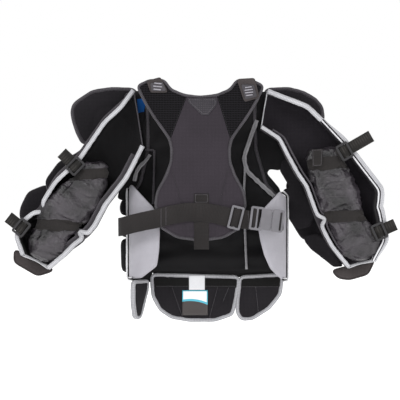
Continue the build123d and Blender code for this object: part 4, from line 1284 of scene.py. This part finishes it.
def nylonSleeve(side):
    spec, c = sleeves[side], sleeve
    both = np.array([np.concatenate([a, b]) for a, b in spec["edges"]], float)
    gaps = travelledDown(both)
    total = gaps[-1]
    where = np.linspace(0, total, c["rings"])
    rows = rowsAt(both, gaps, where, 4)
    points, kinds, held = [], [], []
    around = c["around"]
    for i, (row, s) in enumerate(zip(rows, where)):
        outer, inner = row[:2], row[2:]
        centre, half = (outer + inner) / 2, np.linalg.norm(inner - outer) / 2
        across = (inner - outer) / (2 * half)
        toEnd = min(s, total - s)
        dome = math.sqrt(max(0.0, 1 - (1 - min(toEnd / c["endDome"], 1)) ** 2))
        thin = c["endThin"] + (1 - c["endThin"]) * dome
        inBand = any(abs(s / total - b) < spec["bandHalf"] for b in spec["bands"])
        squeeze = c["bandSqueeze"] if inBand else 1.0
        for k in range(around):
            a = 2 * math.pi * k / around
            u = half * squeeze * (c["endNarrow"] + (1 - c["endNarrow"])
                                  * dome) * math.copysign(abs(math.cos(a)) ** 0.8, math.cos(a))
            d = c["depth"] * squeeze * thin * math.sin(a)
            d = max(d, -c["depth"] * 0.9) if d < 0 else d * 0.8
            flat = centre + across * u
            points.append(np.array([flat[0], c["middle"] + d, flat[1]]) * mm)
            held.append(1.0 if (inBand or i < 2 or i > c["rings"] - 3) else 0.0)
    for i in range(c["rings"] - 1):
        level = (where[i] + where[i + 1]) / 2 / total
        banded = any(abs(level - b) < spec["bandHalf"] for b in spec["bands"])
        kinds += [1 if banded else 0] * around
    obj = newPiece("nylonSleeve" + side.capitalize(), points, tubeFaces(c["rings"], around),
                   ["nylonTaffeta", "sleeveKnit"], kinds + [0, 0])
    turnOutwards(obj.data)
    swollen(obj, held, c["cap"], c["pressure"], c["loose"])
    refine = obj.modifiers.new("refine", "SUBSURF")
    refine.levels = refine.render_levels = 1
    fine = bpy.data.meshes.new_from_object(obj.evaluated_get(bpy.context.evaluated_depsgraph_get()))
    obj.modifiers.remove(refine)
    obj.data = fine
    # gathers: creases across the sleeve, deepest beside the elastic bands
    axisPoints = np.array([[(r[0] + r[2]) / 2, (r[1] + r[3]) / 2] for r in rows])
    heading = np.gradient(axisPoints, axis=0)
    heading /= np.linalg.norm(heading, axis=1)[:, None]
    bandPlaces = [b * total for b in spec["bands"]]
    fine.update()
    coordinates = np.array([v.co for v in fine.vertices]) / mm
    normals = np.array([v.normal for v in fine.vertices])
    flatPart = coordinates[:, [0, 2]]
    nearest = np.argmin(((flatPart[:, None, :] - axisPoints[None]) ** 2).sum(axis=2), axis=1)
    along = where[nearest] + np.sum((flatPart - axisPoints[nearest]) * heading[nearest], axis=1)
    sidewards = np.stack([-heading[nearest][:, 1], heading[nearest][:, 0]], axis=1)
    sideways = np.sum((flatPart - axisPoints[nearest]) * sidewards, axis=1)
    f = creases
    for i, (s, u, d) in enumerate(zip(along, sideways, coordinates[:, 1])):
        toBand = min(abs(s - b) for b in bandPlaces) - spec["bandHalf"] * total
        loose = f["bandShare"] if toBand < 0 else 1.0
        gather = math.exp(-max(toBand, 0) / f["gatherReach"])
        sway = f["sway"] * noise.noise(Vector((u / 30, d / 30, 2.0)))
        fold, swell, tuck = (noise.noise(Vector((place / a, u / b, d / c + seed))) for place, (a, b, c),
                             seed in ((s + sway, f["fold"], 7), (s, f["swell"], 0), (s, f["gather"], 0)))
        lift = loose * (f["foldHeight"] * ((1 - abs(2 * fold)) ** 2 - 0.4) + f["swellHeight"] * swell)
        lift += f["gatherHeight"] * gather * tuck if toBand > 0 else 0.2 * tuck
        fine.vertices[i].co += Vector(normals[i]) * lift * mm
    fine.update()
    for poly in fine.polygons:
        poly.use_smooth = True
    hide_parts("bicep_wrap_" + side, "forearm_wrap_" + side)
    bendAtElbow(obj)


for side in sides:
    nylonSleeve(side)
patch = [(228, -126), (250, -125), (249, -160), (229, -161)]
plate("sleevePatchRight", patch, (-27.0, -23.0), "sleeveKnit", "upper_arm_right", 0.5)
stitches("sleevePatchStitchesRight", [at([(230, -128), (248, -127), (247, -158), (231, -159), (230, -128)],
                                         -27.2)], "upper_arm_right", "darkThread", 3.0)
print("sleeves done")

# Guards, elbow caps and wrist flaps

guards = {"bicep_guard": ("upper_arm_", "warpKnit", dict(roundOver=9.0, puff=1.0)),
          "forearm_guard": ("forearm_", "warpKnit", dict(roundOver=8.0, puff=0.8)),
          "elbow_cap": ("elbow_cap_", "laminatedBlack", dict(roundOver=12.0, puff=1.5)),
          "wrist_pad": ("wrist_", "heavyTricot", dict(roundOver=7.0, puff=0.8, step=3.5,
                                                      folds=(0.8, (25, 20), 6.0)))}
for side in sides:
    for node, (body, finish, extra) in guards.items():
        name = camelName(node, side)
        low, high = boxMm(node + "_" + side)
        isWrist = node == "wrist_pad"
        level = (low[2] + high[2]) / 2
        seam = [(low[0] + (high[0] - low[0]) * share, level) for share in (0.2, 0.8)]
        shape = dict(step=4.5, rim=0.6, seamDepth=2.0, seamWidth=3.0,
                     seams=() if isWrist else (seam,)) | extra
        piece, edge, _ = paddedPanel(name, node + "_" + side, finish, body + side,
                                     "wrist_fabric" if isWrist else "arm_fabric", 0.85, **shape)
        if not isWrist:
            sweep(name + "Piping", edge, "charcoalTape", body + side, 3.0, 4.0, towardsSkin,
                  closed=True, step=5.0)
        else:
            sweep(name + "Edge", edge, "heavyTape", body + side, 5.0, piece["thick"] * 0.85,
                  towardsSkin, closed=True, step=4.0)
print("guards done")

# Arm straps

# Each slide's middle, out from the shoulder's edge and in height, the tail's direction
# in degrees, tail and root.
armStraps = {
    "upper_left": (142, -160, 136, 40, 12), "lower_left": (252, -286, 142, 36, 14),
    "upper_right": (181, -130, 30, 64, 16), "lower_right": (252, -294, 24, 37, 16),
}
for key, (out, z, turn, tail, root) in armStraps.items():
    end, side = key.split("_")
    name = end.capitalize() + side.capitalize()
    x = sides[side] * (shoulderEdge + out)
    c, s = math.cos(math.radians(turn)), math.sin(math.radians(turn))
    body = ("upper_arm_" if end == "upper" else "forearm_") + side
    depth = (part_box("arm_strap_" + key)[0][1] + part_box("arm_strap_" + key)[1][1]) / 2 / mm
    shape = [(-root, depth + 0.6), (-root * 0.5, depth), (0, depth), (tail * 0.4, depth),
             (tail * 0.75, depth + 0.4), (tail - 1, depth - 1.2)]
    strap = sweep("armStrap" + name, [np.array([x + u * c, d, z + u * s]) * mm for u, d in shape],
                  "strapWebbing", body, 24.6, 2.0, towardsSkin, square=9.0, step=3.0)
    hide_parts("arm_strap_" + key)
    slideBody = "slide_" + end + "_" + side
    webbingHump("armStrapFold" + name, (x, z), turn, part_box("arm_slide_" + key)[1][1] / mm, 24.0,
                "strapWebbing", slideBody, reach=8.0, lift=4.4)
print("straps done")

# Floor, light and camera

stageSizes = {"floorDrop": 0.03, "floorHalf": 30.0, "distance": 3.6, "viewWidth": 0.82,
              "middle": (-0.001, -0.02, -0.2296)}
floorZ = cadBox[0][2] - stageSizes["floorDrop"]
h = stageSizes["floorHalf"]
floor = newPiece("floor", [(-h, -h, floorZ), (h, -h, floorZ), (h, h, floorZ), (-h, h, floorZ)],
                 [(0, 1, 2, 3)], "paleFloor", smooth=False)
world = bpy.data.worlds.new("studio")
bpy.context.scene.world = world
world.use_nodes = True
world.node_tree.nodes["Background"].inputs["Color"].default_value = (1, 1, 1, 1)
seen = world.node_tree.nodes.new("ShaderNodeLightPath")
level = world.node_tree.nodes.new("ShaderNodeMapRange")  # white to the camera, softer as a light
level.inputs["To Min"].default_value = 0.62
world.node_tree.links.new(seen.outputs["Is Camera Ray"], level.inputs["Value"])
world.node_tree.links.new(level.outputs["Result"], world.node_tree.nodes["Background"].inputs["Strength"])
bpy.context.scene.view_settings.view_transform = "Standard"
lamps = {  # place, size and power
    "keyLamp": ((-1.4, -2.4, 1.8), 1.2, 42), "fillLamp": ((1.8, -2.2, 0.4), 1.4, 14),
    "rimLamp": ((0.4, 2.2, 1.8), 1.4, 36),
}
aim = Vector((0, 0, -0.22))
for name, (where, size, power) in lamps.items():
    lamp = bpy.data.lights.new(name, "AREA")
    lamp.size, lamp.energy = size, power
    obj = bpy.data.objects.new(name, lamp)
    obj.location = where
    obj.rotation_euler = (aim - Vector(where)).to_track_quat("-Z", "Y").to_euler()
    obj.visible_camera = False
    bpy.context.scene.collection.objects.link(obj)
cameraData = bpy.data.cameras.new("camera")
reach = stageSizes["distance"] + stageSizes["middle"][1]
cameraData.lens = cameraData.sensor_width * reach / stageSizes["viewWidth"]
cameraData.clip_end = 100
camera = bpy.data.objects.new("camera", cameraData)
camera.location = (stageSizes["middle"][0], -stageSizes["distance"], stageSizes["middle"][2])
camera.rotation_euler = (math.pi / 2, 0, 0)
bpy.context.scene.collection.objects.link(camera)
bpy.context.scene.camera = camera

print("stage ready")
